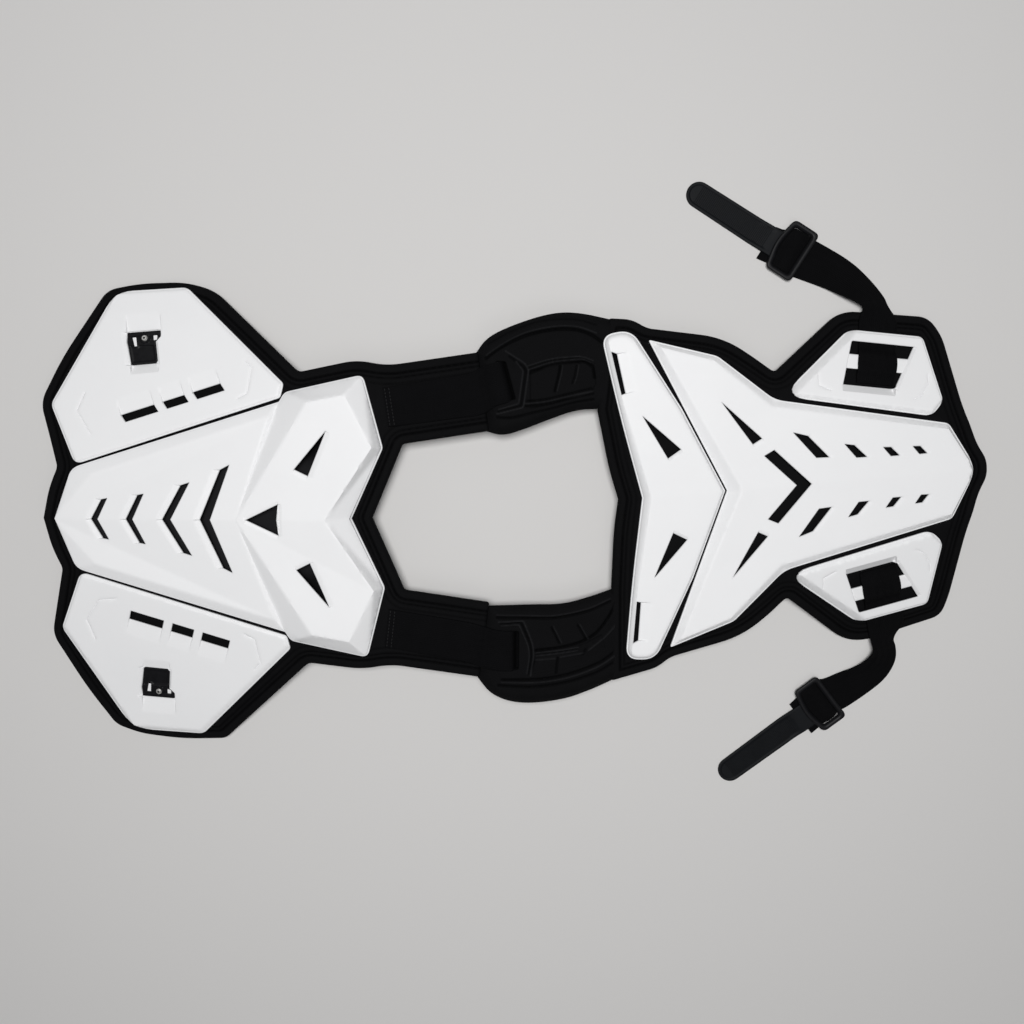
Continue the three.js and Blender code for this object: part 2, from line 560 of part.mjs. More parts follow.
function waistStrap(name, side) {
  const inside = STRAP_ON_BAR.map(({ out, h }) => ({
    a: toPlan(BACK, onBar(side, out, STRAP_HALF), h),
    b: toPlan(BACK, onBar(side, out, -STRAP_HALF), h),
  }));
  const run = STRAP_RUN[name].map((row) => ({
    a: new THREE.Vector3(row.ax, row.ay, row.az), b: new THREE.Vector3(row.bx, row.by, row.bz),
  }));
  const { x, y, turn } = BUCKLE_AT[name];
  const end = (across) => {
    const p = vec(STRAP_END.at, STRAP_END.shift - across * side).rotateAround(vec(0, 0), degrees(turn));
    return new THREE.Vector3(x + p.x, y + p.y, WEBBING / 2 + CLEARANCE);
  };
  return webbing([...inside, ...run, { a: end(STRAP_END.half), b: end(-STRAP_END.half) }]);
}

for (const [name, side] of Object.entries(SIDES)) {
  const slide = slideOf(side);
  const ring = flippedRing(BACK_WING, side).map((p) => ({ ...p, u: p.u + slide.u, v: p.v + slide.v }));
  const window = flipped(pairs(BACK_WINDOW), side).map((p) => vec(p.x + slide.u, p.y + slide.v));
  const outline = solid(prism(roundedShape(ring), -CUT, CUT));
  const plate = solid(bevelledShell(ring, { bevel: WING_BEVEL, top: WING_TOP })).intersect(outline)
    .subtract(cutter(window))
    .add(solid(barGeometry(side)))
    .subtract(solid(strapTunnel(side)));
  protector.add(
    part(`back_wing_${name}`, laid(BACK, geometry(plate)), WHITE_PLASTIC, BACK),
    part(`waist_strap_${name}`, waistStrap(name, side), BLACK_WEBBING),
  );
}

// Shoulder pads between the tabs and the back, with the slot for the hook strap and the moulded ribs
function shoulderPad(name) {
  const rows = SHOULDER_ROWS[name];
  const span = rows.length - 1;
  const under = (share) =>
    THREE.MathUtils.lerp(CHEST.lift, BACK.lift, share) + SHOULDER.bow * Math.sin(Math.PI * share);
  const sections = rows.map((row, i) => {
    const low = under(i / span);
    const out = vec(row.outX, row.outY);
    const inner = vec(row.inX, row.inY);
    const inward = inner.clone().sub(out).normalize().multiplyScalar(SHOULDER.inset);
    const at = (p, h) => new THREE.Vector3(p.x, p.y, low + h);
    return [
      at(out, 0), at(inner, 0), at(inner, SHOULDER.edge), at(inner.clone().sub(inward), row.thick),
      at(out.clone().add(inward), row.thick), at(out, SHOULDER.edge),
    ];
  });
  const first = rows[0].outX;
  const length = rows[span].outX - first;
  const ribs = SHOULDER_RIBS[name].map(({ x0, y0, x1, y1 }) => {
    const reach = Math.hypot(x1 - x0, y1 - y0) + SHOULDER.rib;
    const share = THREE.MathUtils.clamp(((x0 + x1) / 2 - first) / length, 0, 1);
    const height = SHOULDER.crown + SHOULDER.relief;
    const box = new THREE.BoxGeometry(reach, SHOULDER.rib, height - 2).rotateZ(Math.atan2(y1 - y0, x1 - x0));
    return box.translate((x0 + x1) / 2, (y0 + y1) / 2, under(share) + height / 2 + 1);
  });
  const body = ribs.reduce((sum, rib) => sum.add(solid(rib)), solid(loft(sections)));
  return geometry(body.subtract(cutter(pairs(SHOULDER_SLOT[name]))));
}

function hookStrap(name) {
  return webbing(HOOK_STRAP[name].map((row) => ({
    a: new THREE.Vector3(row.ax, row.ay, CHEST.lift + row.h),
    b: new THREE.Vector3(row.bx, row.by, CHEST.lift + row.h),
  })));
}

for (const name of Object.keys(SIDES)) {
  protector.add(
    part(`shoulder_pad_${name}`, shoulderPad(name), BLACK_FOAM),
    part(`hook_strap_${name}`, hookStrap(name), BLACK_WEBBING),
  );
}

// Waist buckles: slider frame over the strap, tongue out of its front
function buckleGeometry() {
  const frame = new THREE.Shape(pairs(BUCKLE));
  frame.holes.push(new THREE.Path(pairs(BUCKLE_WINDOW)));
  return prism(frame, BUCKLE_HEIGHT.bottom, BUCKLE_HEIGHT.top);
}

function tongueGeometry({ pull, offset }) {
  return loft(TONGUE.map(({ x, half, z }) => [
    new THREE.Vector3(x, half, z), new THREE.Vector3(x, -half, z),
    new THREE.Vector3(x, -half, z + TONGUE_THICK), new THREE.Vector3(x, half, z + TONGUE_THICK),
  ])).translate(pull, offset, 0);
}

for (const [name, place] of Object.entries(BUCKLE_AT)) {
  protector.add(
    part(`slider_buckle_${name}`, buckleGeometry(), DARK_PLASTIC, place),
    part(`strap_tongue_${name}`, tongueGeometry(place), DARK_RUBBER, place),
  );
}

// The origin is under the middle of the whole protector
protector.updateMatrixWorld(true);
const middle = new THREE.Box3().setFromObject(protector, true).getCenter(new THREE.Vector3());
protector.position.set(-middle.x, -middle.y, 0);

export default protector;
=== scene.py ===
import math

import bpy
import numpy as np
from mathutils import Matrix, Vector
from mathutils.geometry import delaunay_2d_cdt


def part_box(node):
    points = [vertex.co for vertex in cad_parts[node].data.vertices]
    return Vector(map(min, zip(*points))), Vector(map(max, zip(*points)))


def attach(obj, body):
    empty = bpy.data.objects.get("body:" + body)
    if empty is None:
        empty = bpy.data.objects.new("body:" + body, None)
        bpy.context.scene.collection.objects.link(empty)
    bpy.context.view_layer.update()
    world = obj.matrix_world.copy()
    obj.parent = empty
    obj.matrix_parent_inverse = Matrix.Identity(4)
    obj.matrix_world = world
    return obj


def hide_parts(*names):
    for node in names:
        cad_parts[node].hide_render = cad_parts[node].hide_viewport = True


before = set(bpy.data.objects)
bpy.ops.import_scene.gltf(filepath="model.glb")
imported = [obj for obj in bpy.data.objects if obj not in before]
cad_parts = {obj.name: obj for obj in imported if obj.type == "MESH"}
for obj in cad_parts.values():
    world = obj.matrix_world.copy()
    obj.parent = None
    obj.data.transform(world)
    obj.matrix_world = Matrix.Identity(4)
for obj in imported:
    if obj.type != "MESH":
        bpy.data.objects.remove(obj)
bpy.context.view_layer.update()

# Set: the protector lies open on a plain pale floor under two soft boxes, seen from above.
# Plan sizes are in millimetres; the chest panel's own zero follows from the upper clip rivet.
MM = 0.001
CLIP_RIVET = (-53, 173.5)
HALF_SPREAD = 300
rivet_low, rivet_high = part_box("clip_rivet_upper")
CHEST_X = (rivet_low.x + rivet_high.x) / 2 / MM - CLIP_RIVET[0]
CHEST_Y = (rivet_low.y + rivet_high.y) / 2 / MM - CLIP_RIVET[1]
PLAN_X, PLAN_Y = CHEST_X + HALF_SPREAD, CHEST_Y

CAMERA_TILT = math.radians(6.75)
CAMERA_REACH, CAMERA_AIM = 1000, 1.5
SENSOR, FOCAL_PIXELS, PICTURE_PIXELS = 36, 1000, 1024
camera = bpy.data.objects.new("camera", bpy.data.cameras.new("camera"))
camera.data.sensor_width = SENSOR
camera.data.lens = SENSOR * FOCAL_PIXELS / PICTURE_PIXELS
camera.location = (
    PLAN_X * MM,
    (PLAN_Y + CAMERA_AIM + CAMERA_REACH * math.sin(CAMERA_TILT)) * MM,
    CAMERA_REACH * math.cos(CAMERA_TILT) * MM,
)
camera.rotation_euler = (-CAMERA_TILT, 0, 0)
bpy.context.collection.objects.link(camera)
bpy.context.scene.camera = camera

floor_mesh = bpy.data.meshes.new("floor")
FLOOR_HALF = 4
floor_mesh.from_pydata(
    [(-FLOOR_HALF, -FLOOR_HALF, 0), (FLOOR_HALF, -FLOOR_HALF, 0), (FLOOR_HALF, FLOOR_HALF, 0),
     (-FLOOR_HALF, FLOOR_HALF, 0)], [], [(0, 1, 2, 3)])
floor = bpy.data.objects.new("floor", floor_mesh)
bpy.context.collection.objects.link(floor)
floor_finish = bpy.data.materials.new("floor_paper")
floor_finish.use_nodes = True
floor_finish.node_tree.nodes["Principled BSDF"].inputs["Base Color"].default_value = (0.62, 0.61, 0.6, 1)
floor_finish.node_tree.nodes["Principled BSDF"].inputs["Roughness"].default_value = 0.9
floor_mesh.materials.append(floor_finish)


def soft_box(name, place, size, power):
    """A square soft box that faces the protector's middle."""
    lamp = bpy.data.lights.new(name, "AREA")
    lamp.size, lamp.energy = size, power
    holder = bpy.data.objects.new(name, lamp)
    holder.location = place
    holder.rotation_euler = (-Vector(place)).to_track_quat("-Z", "Y").to_euler()
    bpy.context.collection.objects.link(holder)


soft_box("key_box", (-0.05, 0.3, 2.0), 0.6, 36)
soft_box("fill_box", (0.3, -0.6, 2.0), 1.4, 4)
world = bpy.data.worlds.new("room")
world.use_nodes = True
world.node_tree.nodes["Background"].inputs["Color"].default_value = (0.92, 0.95, 1, 1)
world.node_tree.nodes["Background"].inputs["Strength"].default_value = 0.07
bpy.context.scene.world = world
bpy.context.scene.view_settings.view_transform = "Standard"

# Chest pad: one sheet of black foam with a knit face, cut to shape, three grooves pressed along its edge.
# Its middle is flat and its two side lobes slope down from a fold until they lie on the floor.
PAD_THICK = 8
# the rolled edge: its width, how far the face falls there and how far the underside lifts
PAD_ROLL, PAD_FALL, PAD_LIFT = 4.2, 3.4, 1.6
PAD_RIPPLE = 0.5
FOLD_SOFT = 4.0
# corners (along, out from the middle, cut): the belly end, each lobe, then the tab and the neck
CHEST_BELLY = [(-152.5, 0, 0), (-146, 28, 14), (-137, 49, 4), (-146.5, 82, 14)]
CHEST_LOBE = {
    "upper": [(-155.5, 111, 12), (-134.5, 155, 20), (-92.5, 219, 10), (-60, 225, 20), (-16, 226, 18),
              (13, 218, 13), (96, 139.5, 5)],
    "lower": [(-156.8, 118, 11), (-128.5, 176, 20), (-103.5, 216, 7), (-79, 225.8, 14), (-36, 231, 20),
              (8.5, 229.3, 5), (99, 145, 5)],
}
CHEST_TAB = [
    (152, 151, 24), (181, 145.5, 24), (268, 158, 3), (278, 83.5, 3), (195, 71, 3), (188, 54, 10),
    (165, 0, 0),
]


class Panel:
    """A pad's own plan (u along its middle line, v across), laid in the row's frame."""

    def __init__(self, node, x, y, turn, fold, rise, slope, fade):
        """The fold starts at a plan point and rises along u; beyond it the lobe slopes, fading in over u."""
        self.x, self.y, self.turn = x, y, math.radians(turn)
        self.fold, self.rise, self.fade = fold, math.radians(rise), fade
        self.slope = math.tan(math.radians(slope))
        self.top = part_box(node)[1].z / MM

    def drop(self, plan):
        """How far the lobes have fallen at each plan point, bending softly along the fold."""
        beyond = (np.abs(plan[:, 1]) - self.fold[1]) * math.cos(self.rise)
        beyond = beyond - (plan[:, 0] - self.fold[0]) * math.sin(self.rise)
        bend = np.clip(beyond + FOLD_SOFT, 0, None) ** 2 / (4 * FOLD_SOFT)
        eased = np.where(beyond > FOLD_SOFT, beyond, bend)
        share = np.clip((plan[:, 0] - self.fade[0]) / (self.fade[1] - self.fade[0]), 0, 1)
        return eased * self.slope * share * share * (3 - 2 * share)

    def place(self, plan, height):
        """Plan points at a height above the pad's top face, as points of the frame in metres."""
        u, v = plan.T
        x = self.x + u * math.cos(self.turn) - v * math.sin(self.turn)
        y = self.y + u * math.sin(self.turn) + v * math.cos(self.turn)
        return np.column_stack([x, y, self.top + height - self.drop(plan)]) * MM


chest = Panel("front_pad", CHEST_X, CHEST_Y, 0, (-118, 50), 17.4, 11, (-400, -399))


def turned(corners, steps=6):
    """Closed outline through (u, v, radius) corners, anticlockwise, each corner turned on its radius."""
    rows = np.array(corners, float)
    points = []
    for before, here, after in zip(np.roll(rows, 1, 0), rows, np.roll(rows, -1, 0)):
        back, ahead = before[:2] - here[:2], after[:2] - here[:2]
        cut = min(here[2], 0.45 * np.hypot(*back), 0.45 * np.hypot(*ahead))
        if cut <= 0:
            points.append(here[:2])
            continue
        start = here[:2] + back / np.hypot(*back) * cut
        stop = here[:2] + ahead / np.hypot(*ahead) * cut
        for t in np.linspace(0, 1, steps + 1):
            points.append((1 - t) ** 2 * start + 2 * t * (1 - t) * here[:2] + t * t * stop)
    loop = np.array(points)
    after = np.roll(loop, -1, 0)
    area = (loop[:, 0] * after[:, 1] - after[:, 0] * loop[:, 1]).sum()
    return loop if area > 0 else loop[::-1]


def whole(half, lower=None):
    """Half outline from middle line to middle line, with its mirror image or a lower half of its own."""
    return list(half) + [(u, -v, *r) for u, v, *r in reversed(lower or half) if v > 0]


def flipped(rows, side, slide=(0, 0)):
    """Rows (u, v, ...), moved by a slide, for the upper side (1) or mirrored for the lower side (-1)."""
    return [(u + slide[0], (v + slide[1]) * side, *rest) for u, v, *rest in rows]


def cornered(loops, cut):
    """Outlines of plain points with the same cut at every corner."""
    return [[(u, v, cut) for u, v in loop] for loop in loops]


def spaced(line, step, closed=True):
    """The same line with points added so that no stretch is longer than step."""
    line = np.array(line, float)
    ends = np.roll(line, -1, 0) if closed else line[1:]
    points = []
    for a, b in zip(line, ends):
        count = max(1, math.ceil(np.hypot(*(b - a)) / step))
        points.extend(a + (b - a) * k / count for k in range(count))
    if not closed:
        points.append(line[-1])
    return np.array(points)


def away(plan, line, closed=False):
    """Distance of each plan point from a line of straight stretches."""
    line = np.array(line, float)
    ends = np.roll(line, -1, 0) if closed else line[1:]
    nearest = np.full(len(plan), 1e9)
    for a, b in zip(line, ends):
        run = b - a
        length = max(run @ run, 1e-12)
        t = np.clip((plan - a) @ run / length, 0, 1)
        nearest = np.minimum(nearest, np.hypot(*(plan - a - t[:, None] * run).T))
    return nearest


def within(plan, loop):
    """True for the plan points inside a closed outline."""
    loop = np.array(loop, float)
    inside = np.zeros(len(plan), bool)
    x, y = plan.T
    for (ax, ay), (bx, by) in zip(loop, np.roll(loop, -1, 0)):
        if ay != by:
            crosses = ((ay > y) != (by > y)) & (x < (bx - ax) * (y - ay) / (by - ay) + ax)
            inside ^= crosses
    return inside


def inset(loop, distance):
    """A closed anticlockwise outline moved inwards, or outwards for a negative distance."""
    back = loop - np.roll(loop, 1, 0)
    ahead = np.roll(loop, -1, 0) - loop
    back = back / np.maximum(np.hypot(*back.T), 1e-9)[:, None]
    ahead = ahead / np.maximum(np.hypot(*ahead.T), 1e-9)[:, None]
    normal = np.column_stack([-back[:, 1] - ahead[:, 1], back[:, 0] + ahead[:, 0]])
    normal /= np.maximum(np.hypot(*normal.T), 1e-9)[:, None]
    reach = np.maximum(0.5, normal[:, 0] * -back[:, 1] + normal[:, 1] * back[:, 0])
    return loop + normal * (distance / reach)[:, None]


def tessellate(edge, openings=(), creases=(), rings=(), fine=2.5, coarse=None, border=0):
    """Plan triangles over an outline with openings, along rings and creases, closer within the border."""
    loops = [edge, *openings]
    rails = [(spaced(loop, fine), True) for loop in loops]
    rails += [(spaced(inset(edge, ring), fine), True) for ring in rings]
    rails += [(spaced(crease, fine, False), False) for crease in creases]
    points, links = [], []
    for rail, closed in rails:
        first = len(points)
        points.extend(rail)
        links.extend((first + k, first + k + 1) for k in range(len(rail) - 1))
        if closed:
            links.append((first + len(rail) - 1, first))
    low, high = edge.min(0), edge.max(0)
    for step, near in ((fine, True), (coarse or fine, False)):
        if near and not border:
            continue
        across = np.arange(low[0], high[0], step)
        up = np.arange(low[1], high[1], step * 0.866)
        grid = np.array([(x + step / 2 * (j % 2), y) for j, y in enumerate(up) for x in across])
        grid = grid[within(grid, edge)]
        rim = away(grid, edge, True)
        grid = grid[(rim < border) if near else (rim >= border)]
        rim = rim[(rim < border) if near else (rim >= border)]
        clear = rim > 0.6 * step + max(rings, default=0)
        for opening in openings:
            clear &= ~within(grid, opening) & (away(grid, opening, True) > 0.6 * step)
        for crease in creases:
            clear &= away(grid, crease) > 0.45 * step
        points.extend(grid[clear])
    made = delaunay_2d_cdt([Vector(p) for p in points], links, [], 0, 1e-4, False)
    plan = np.array([tuple(p) for p in made[0]])
    faces = np.array(made[2])
    a, b, c = plan[faces[:, 0]], plan[faces[:, 1]], plan[faces[:, 2]]
    twice = (b[:, 0] - a[:, 0]) * (c[:, 1] - a[:, 1]) - (b[:, 1] - a[:, 1]) * (c[:, 0] - a[:, 0])
    faces = np.where((twice < 0)[:, None], faces[:, ::-1], faces)
    middle = (a + b + c) / 3
    keep = within(middle, edge) & (np.abs(twice) > 1e-7)
    for opening in openings:
        keep &= ~within(middle, opening)
    used, faces = np.unique(faces[keep], return_inverse=True)
    return plan[used], faces.reshape(-1, 3)


def open_edges(faces):
    """The stretches that belong to one triangle only, in that triangle's direction."""
    pairs = np.concatenate([faces[:, [0, 1]], faces[:, [1, 2]], faces[:, [2, 0]]])
    _, back, count = np.unique(np.sort(pairs, 1), axis=0, return_inverse=True, return_counts=True)
    return pairs[count[back.reshape(-1)] == 1]


def new_piece(name, points, faces, finish, sharp=35, attributes=None):
    """A smooth-shaded mesh piece with one finish, creased where it turns by more than the sharp angle."""
    mesh = bpy.data.meshes.new(name)
    mesh.from_pydata([tuple(p) for p in points], [], [tuple(int(i) for i in f) for f in faces])
    mesh.validate()
    mesh.shade_smooth()
    mesh.set_sharp_from_angle(angle=math.radians(sharp))
    mesh.materials.append(finish)
    for key, values in (attributes or {}).items():
        mesh.attributes.new(key, "FLOAT", "POINT").data.foreach_set("value", np.asarray(values, np.float32))
    piece = bpy.data.objects.new(name, mesh)
    bpy.context.collection.objects.link(piece)
    return piece


def closed_piece(name, upper, lower, faces, finish, sharp=35, attributes=None):
    """A closed piece from an upper and a lower skin with the same triangles, walled round every edge."""
    under = len(upper)
    walls = [f for a, b in open_edges(faces) for f in ((b, a, a + under), (b, a + under, b + under))]
    rows = np.concatenate([faces, faces[:, ::-1] + under, np.array(walls)])
    doubled = {key: np.concatenate([values, values]) for key, values in (attributes or {}).items()}
    return new_piece(name, np.concatenate([upper, lower]), rows, finish, sharp, doubled)


class Shade:
    """A value inside a material; +, - and * on it add Math nodes."""

    def __init__(self, tree, out=None):
        self.tree, self.out = tree, out

    def node(self, kind, settings=None, sockets=None, out=0):
        made = self.tree.nodes.new(kind)
        for key, value in (settings or {}).items():
            setattr(made, key, value)
        for key, value in (sockets or {}).items():
            if isinstance(value, Shade):
                self.tree.links.new(value.out, made.inputs[key])
            else:
                made.inputs[key].default_value = value
        return Shade(self.tree, made.outputs[out])

    def maths(self, operation, first, second=0.0):
        return self.node("ShaderNodeMath", {"operation": operation}, {0: first, 1: second})

    def into(self, socket):
        self.tree.links.new(self.out, socket)

    def __add__(self, other):
        return self.maths("ADD", self, other)

    def __sub__(self, other):
        return self.maths("SUBTRACT", self, other)

    def __rsub__(self, other):
        return self.maths("SUBTRACT", other, self)

    def __mul__(self, other):
        return self.maths("MULTIPLY", self, other)

    __radd__ = __add__
    __rmul__ = __mul__


def new_finish(name, roughness, metallic=0.0, specular=0.5):
    """A material with its constant values set: returns it, its tree and its main shader's sockets."""
    finish = bpy.data.materials.new(name)
    finish.use_nodes = True
    sockets = finish.node_tree.nodes["Principled BSDF"].inputs
    sockets["Roughness"].default_value = roughness
    sockets["Metallic"].default_value = metallic
    sockets["Specular IOR Level"].default_value = specular
    return finish, Shade(finish.node_tree), sockets


def noise(shade, scale, detail, roughness=0.5):
    """Noise fixed to the piece, from 0 to 1."""
    spot = shade.node("ShaderNodeTexCoord", out="Object")
    return shade.node(
        "ShaderNodeTexNoise", None,
        {"Vector": spot, "Scale": scale, "Detail": detail, "Roughness": roughness})


def coat(shade, sockets, factor, dark, light, roughness, strength, depth, height):
    """Gives a finish its colour between two tones, its roughness, and fine relief from a varying height."""
    tones = {0: factor, 6: (*dark, 1), 7: (*light, 1)}
    shade.node("ShaderNodeMix", {"data_type": "RGBA"}, tones, 2).into(sockets["Base Color"])
    roughness.into(sockets["Roughness"])
    bump = shade.node("ShaderNodeBump", None, {"Strength": strength, "Distance": depth, "Height": height})
    bump.into(sockets["Normal"])


KNIT_COLUMN, KNIT_ROW = 0.0021, 0.0014
foam, shade, sockets = new_finish("black_foam_knit", 0.8, specular=0.07)
spot = shade.node("ShaderNodeTexCoord", out="Object")
knit_x = shade.node("ShaderNodeSeparateXYZ", None, {0: spot}, "X") * (2 * math.pi / KNIT_COLUMN)
knit_y = shade.node("ShaderNodeSeparateXYZ", None, {0: spot}, "Y") * (2 * math.pi / KNIT_ROW)
loops = shade.maths("SINE", knit_x) * shade.maths("SINE", knit_y + knit_x * 0.5)
fuzz = noise(shade, 900, 4)
worn = noise(shade, 38, 5, 0.65)
# painted shade: the foam's colour is darkened along the pressed grooves, where shade falls
pressed = shade.node("ShaderNodeAttribute", {"attribute_name": "pressed"}, None, "Fac")
# painted highlight: the colour is lightened along the ridges and on the foam seen through the openings
proud = shade.node("ShaderNodeAttribute", {"attribute_name": "proud"}, None, "Fac")
# real wear and fuzz, darkened by the painted groove shade and lightened by the painted highlight
wear_and_painted_light = (worn * 0.7 + fuzz * 0.3) * 0.3 * (1 - pressed * 0.9) + proud * 0.55
coat(
    shade, sockets, wear_and_painted_light, (0.0005, 0.0005, 0.0007), (0.018, 0.018, 0.0195), 0.7 + worn * 0.25,
    0.5, 0.0005, loops * 0.35 + fuzz * 0.8 + worn * 1.6)


def ripple(plan, reach):
    """Slight unevenness of a foam face, from 0 to reach."""
    u, v = plan.T
    along = np.sin(u / 17 + 1.3 * np.sin(v / 41))
    across = np.sin(v / 13 + 1.7 * np.sin(u / 29))
    return reach * ((along + across + np.sin((u + v) / 31)) / 6 + 0.5)


# the field of painted light on the foam seen through the plates' openings: half its width, and how far from
# the pad's edge it begins
PAINTED_LIGHT_HALF, PAINTED_LIGHT_FROM = 58, 24


def foam_pad(name, panel, corners, pressed_corners, grooves, middle_painted_light):
    """Foam sheet with a rolled edge; grooves are (distance from the pressed outline, half width, depth)."""
    edge = turned(corners, 8)
    plan, faces = tessellate(edge, rings=(0.4, 1.2, 2.4), fine=1.15, coarse=7, border=22)
    rim = away(plan, edge, True)
    lean = np.clip(1 - rim / PAD_ROLL, 0, 1)
    roll = 1 - np.sqrt(1 - lean ** 2)
    to_press = away(plan, turned(pressed_corners, 8), True)
    groove = sum(depth * np.exp(-((to_press - place) / half) ** 2) for place, half, depth in grooves)
    height = -PAD_FALL * roll - ripple(plan, PAD_RIPPLE) * np.clip(rim / 8, 0, 1) - groove
    upper = panel.place(plan, height)
    lower = panel.place(plan, PAD_LIFT * roll - PAD_THICK)
    lower[:, 2] = np.maximum(lower[:, 2], 0)
    middle = np.clip((PAINTED_LIGHT_HALF - np.abs(plan[:, 1])) / 6, 0, 1)
    middle = middle * np.clip((rim - PAINTED_LIGHT_FROM) / 8, 0, 1)
    # painted shade in the grooves, and painted light on the middle field that shows through the plates'
    # openings
    marks = {"pressed": np.clip(groove, 0, 1), "proud": middle_painted_light * middle}
    piece = closed_piece(name, upper, lower, faces, foam, 50, marks)
    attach(piece, "root")
    return piece


# the pressed border runs out over the tabs' ends: from where, how far along and how far out
TAB_FROM, TAB_RUN_OUT, TAB_SPREAD = 200, 40, 5.8
chest_halves = [CHEST_BELLY + lobe + CHEST_TAB for lobe in CHEST_LOBE.values()]
chest_press = [
    [(u + TAB_RUN_OUT, v + TAB_SPREAD, r) if u > TAB_FROM else (u, v, r) for u, v, r in half]
    for half in chest_halves]
front_pad = foam_pad(
    "chest_pad_foam", chest, whole(*chest_halves), whole(*chest_press),
    [(8.8, 1.0, 1.5), (13, 0.9, 1.0), (18.5, 0.9, 0.7)], 0.9)
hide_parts("front_pad")

# Chest plate: a white moulded shell with a roof-shaped belly and a raised breast, on the pad's flat middle.
# Four chevron louvres, a triangle and two eyes are cut through it, each with a ramp moulded beside it.
WALL = 2.0
# the flange round a plate: its height and width, the step beside it, and the flat end of a ramp at its slot
RIM, FLANGE, STEP, LAND = 3.0, 1.3, 0.35, 0.9
# how far the corners of a plate's openings are cut
CUT = 0.4
CHEST_POINTS = {
    "tip": (-139.5, 0, 6), "corner": (-121, 48.8, 3), "end": (79, 111.5, 3), "shoulder": (84, 120.5, 3),
    "crest": (159, 137, 3), "horn": (177, 67.5, 3), "notch": (146, 0, 6), "apex": (38, 0, 16.5),
    "corner_in": (-100, 43.5, 8), "end_in": (71, 98.5, 7.8), "breast_a": (108, 111, 18),
    "breast_b": (143.5, 118, 17.5), "breast_c": (168, 68.5, 16.5), "breast_d": (123, 0, 19.8),
}
CHEST_FACETS = [
    "tip apex end_in", "tip end_in corner_in", "tip corner_in corner", "corner_in end_in corner",
    "end_in end corner", "apex end end_in", "apex shoulder end", "apex breast_a shoulder",
    "apex breast_b breast_a", "apex breast_c breast_b", "apex breast_d breast_c",
    "breast_a breast_b shoulder", "breast_b crest shoulder", "breast_b breast_c crest",
    "breast_c horn crest", "breast_c breast_d horn", "breast_d notch horn",
]
CHEST_CREASES = [
    "tip apex breast_d notch", "apex end_in corner_in corner", "tip corner_in", "end_in end", "apex end",
    "apex breast_a breast_b breast_c breast_d", "breast_a shoulder", "breast_b crest", "breast_c horn",
]
CHEST_RIM = {"tip": 0, "corner": 8, "end": 1, "shoulder": 5, "crest": 7, "horn": 3, "notch": 0}
# chevrons: tip and inner tip on the middle line, then the two corners at the arm's end
CHEVRONS = [
    (-103, -96, (-93, 18.7), (-86.5, 20)), (-69, -62, (-57.5, 23), (-51, 24.3)),
    (-33.5, -25, (-15.5, 32.4), (-6.5, 35.3)), (3, 13.3, (22.5, 47), (32, 52)),
]
CHEST_TRIANGLE = [(47.5, 0), (78.5, 15), (77, 0), (78.5, -15)]
CHEST_EYE = [(125, 84), (94.5, 48), (107.3, 41.7)]


def chevron_loop(tip, inner, end, end_inner):
    """Closed outline of a V-shaped slot."""
    lower = [(end[0], -end[1]), (end_inner[0], -end_inner[1])]
    return np.array([(tip, 0), *lower, (inner, 0), end_inner, end])


def ramp_fall(plan, ramps):
    """Depth of the moulded ramps: each is deepest along its edge, a to b, and runs out over run."""
    fall = np.zeros(len(plan))
    for a, b, run, depth in ramps:
        a, b, run = np.array(a, float), np.array(b, float), np.array(run, float)
        along = b - a
        s, t = np.linalg.solve(np.column_stack([along, run]), (plan - a).T)
        side = np.clip((np.minimum(s, 1 - s) * np.hypot(*along) + 0.5) / 0.9, 0, 1)
        land = LAND / np.hypot(*run)
        slope = np.clip((1 - t) / (1 - land), 0, 1)
        fall = np.maximum(fall, np.where(t > -0.03, depth * slope, 0) * side)
    return fall


def ramp_creases(ramps):
    """The lines where the ramps leave the surface."""
    lines = []
    for a, b, run, _ in ramps:
        a, b, run = np.array(a, float), np.array(b, float), np.array(run, float)
        inward = (b - a) / np.hypot(*(b - a)) * 0.4
        lines += [[a - inward, a - inward + run], [b + inward, b + inward + run]]
        lines += [[a - inward + run, b + inward + run]]
        lines += [[a + inward, a + inward + run], [b - inward, b - inward + run]]
    return lines


def both_sides(ramps):
    """Ramps of the upper half with their mirror images."""
    mirror = [((a[0], -a[1]), (b[0], -b[1]), (run[0], -run[1]), depth) for a, b, run, depth in ramps]
    return list(ramps) + mirror


def eased(faces, values, passes):
    """Values averaged with their neighbours, but for the open edges, so that creases turn softly."""
    pairs = np.concatenate([faces[:, [0, 1]], faces[:, [1, 2]], faces[:, [2, 0]]])
    pairs = np.concatenate([pairs, pairs[:, ::-1]])
    count = np.bincount(pairs[:, 0], minlength=len(values))
    free = np.ones(len(values), bool)
    free[open_edges(faces).reshape(-1)] = False
    for _ in range(passes):
        mean = np.bincount(pairs[:, 0], values[pairs[:, 1]], len(values)) / np.maximum(count, 1)
        values = np.where(free, 0.5 * (values + mean), values)
    return values


def round_over(distance, radius):
    """How far a rounded edge of that radius falls at a distance from the edge."""
    return radius * (1 - np.sqrt(1 - np.clip(1 - distance / radius, 0, 1) ** 2))


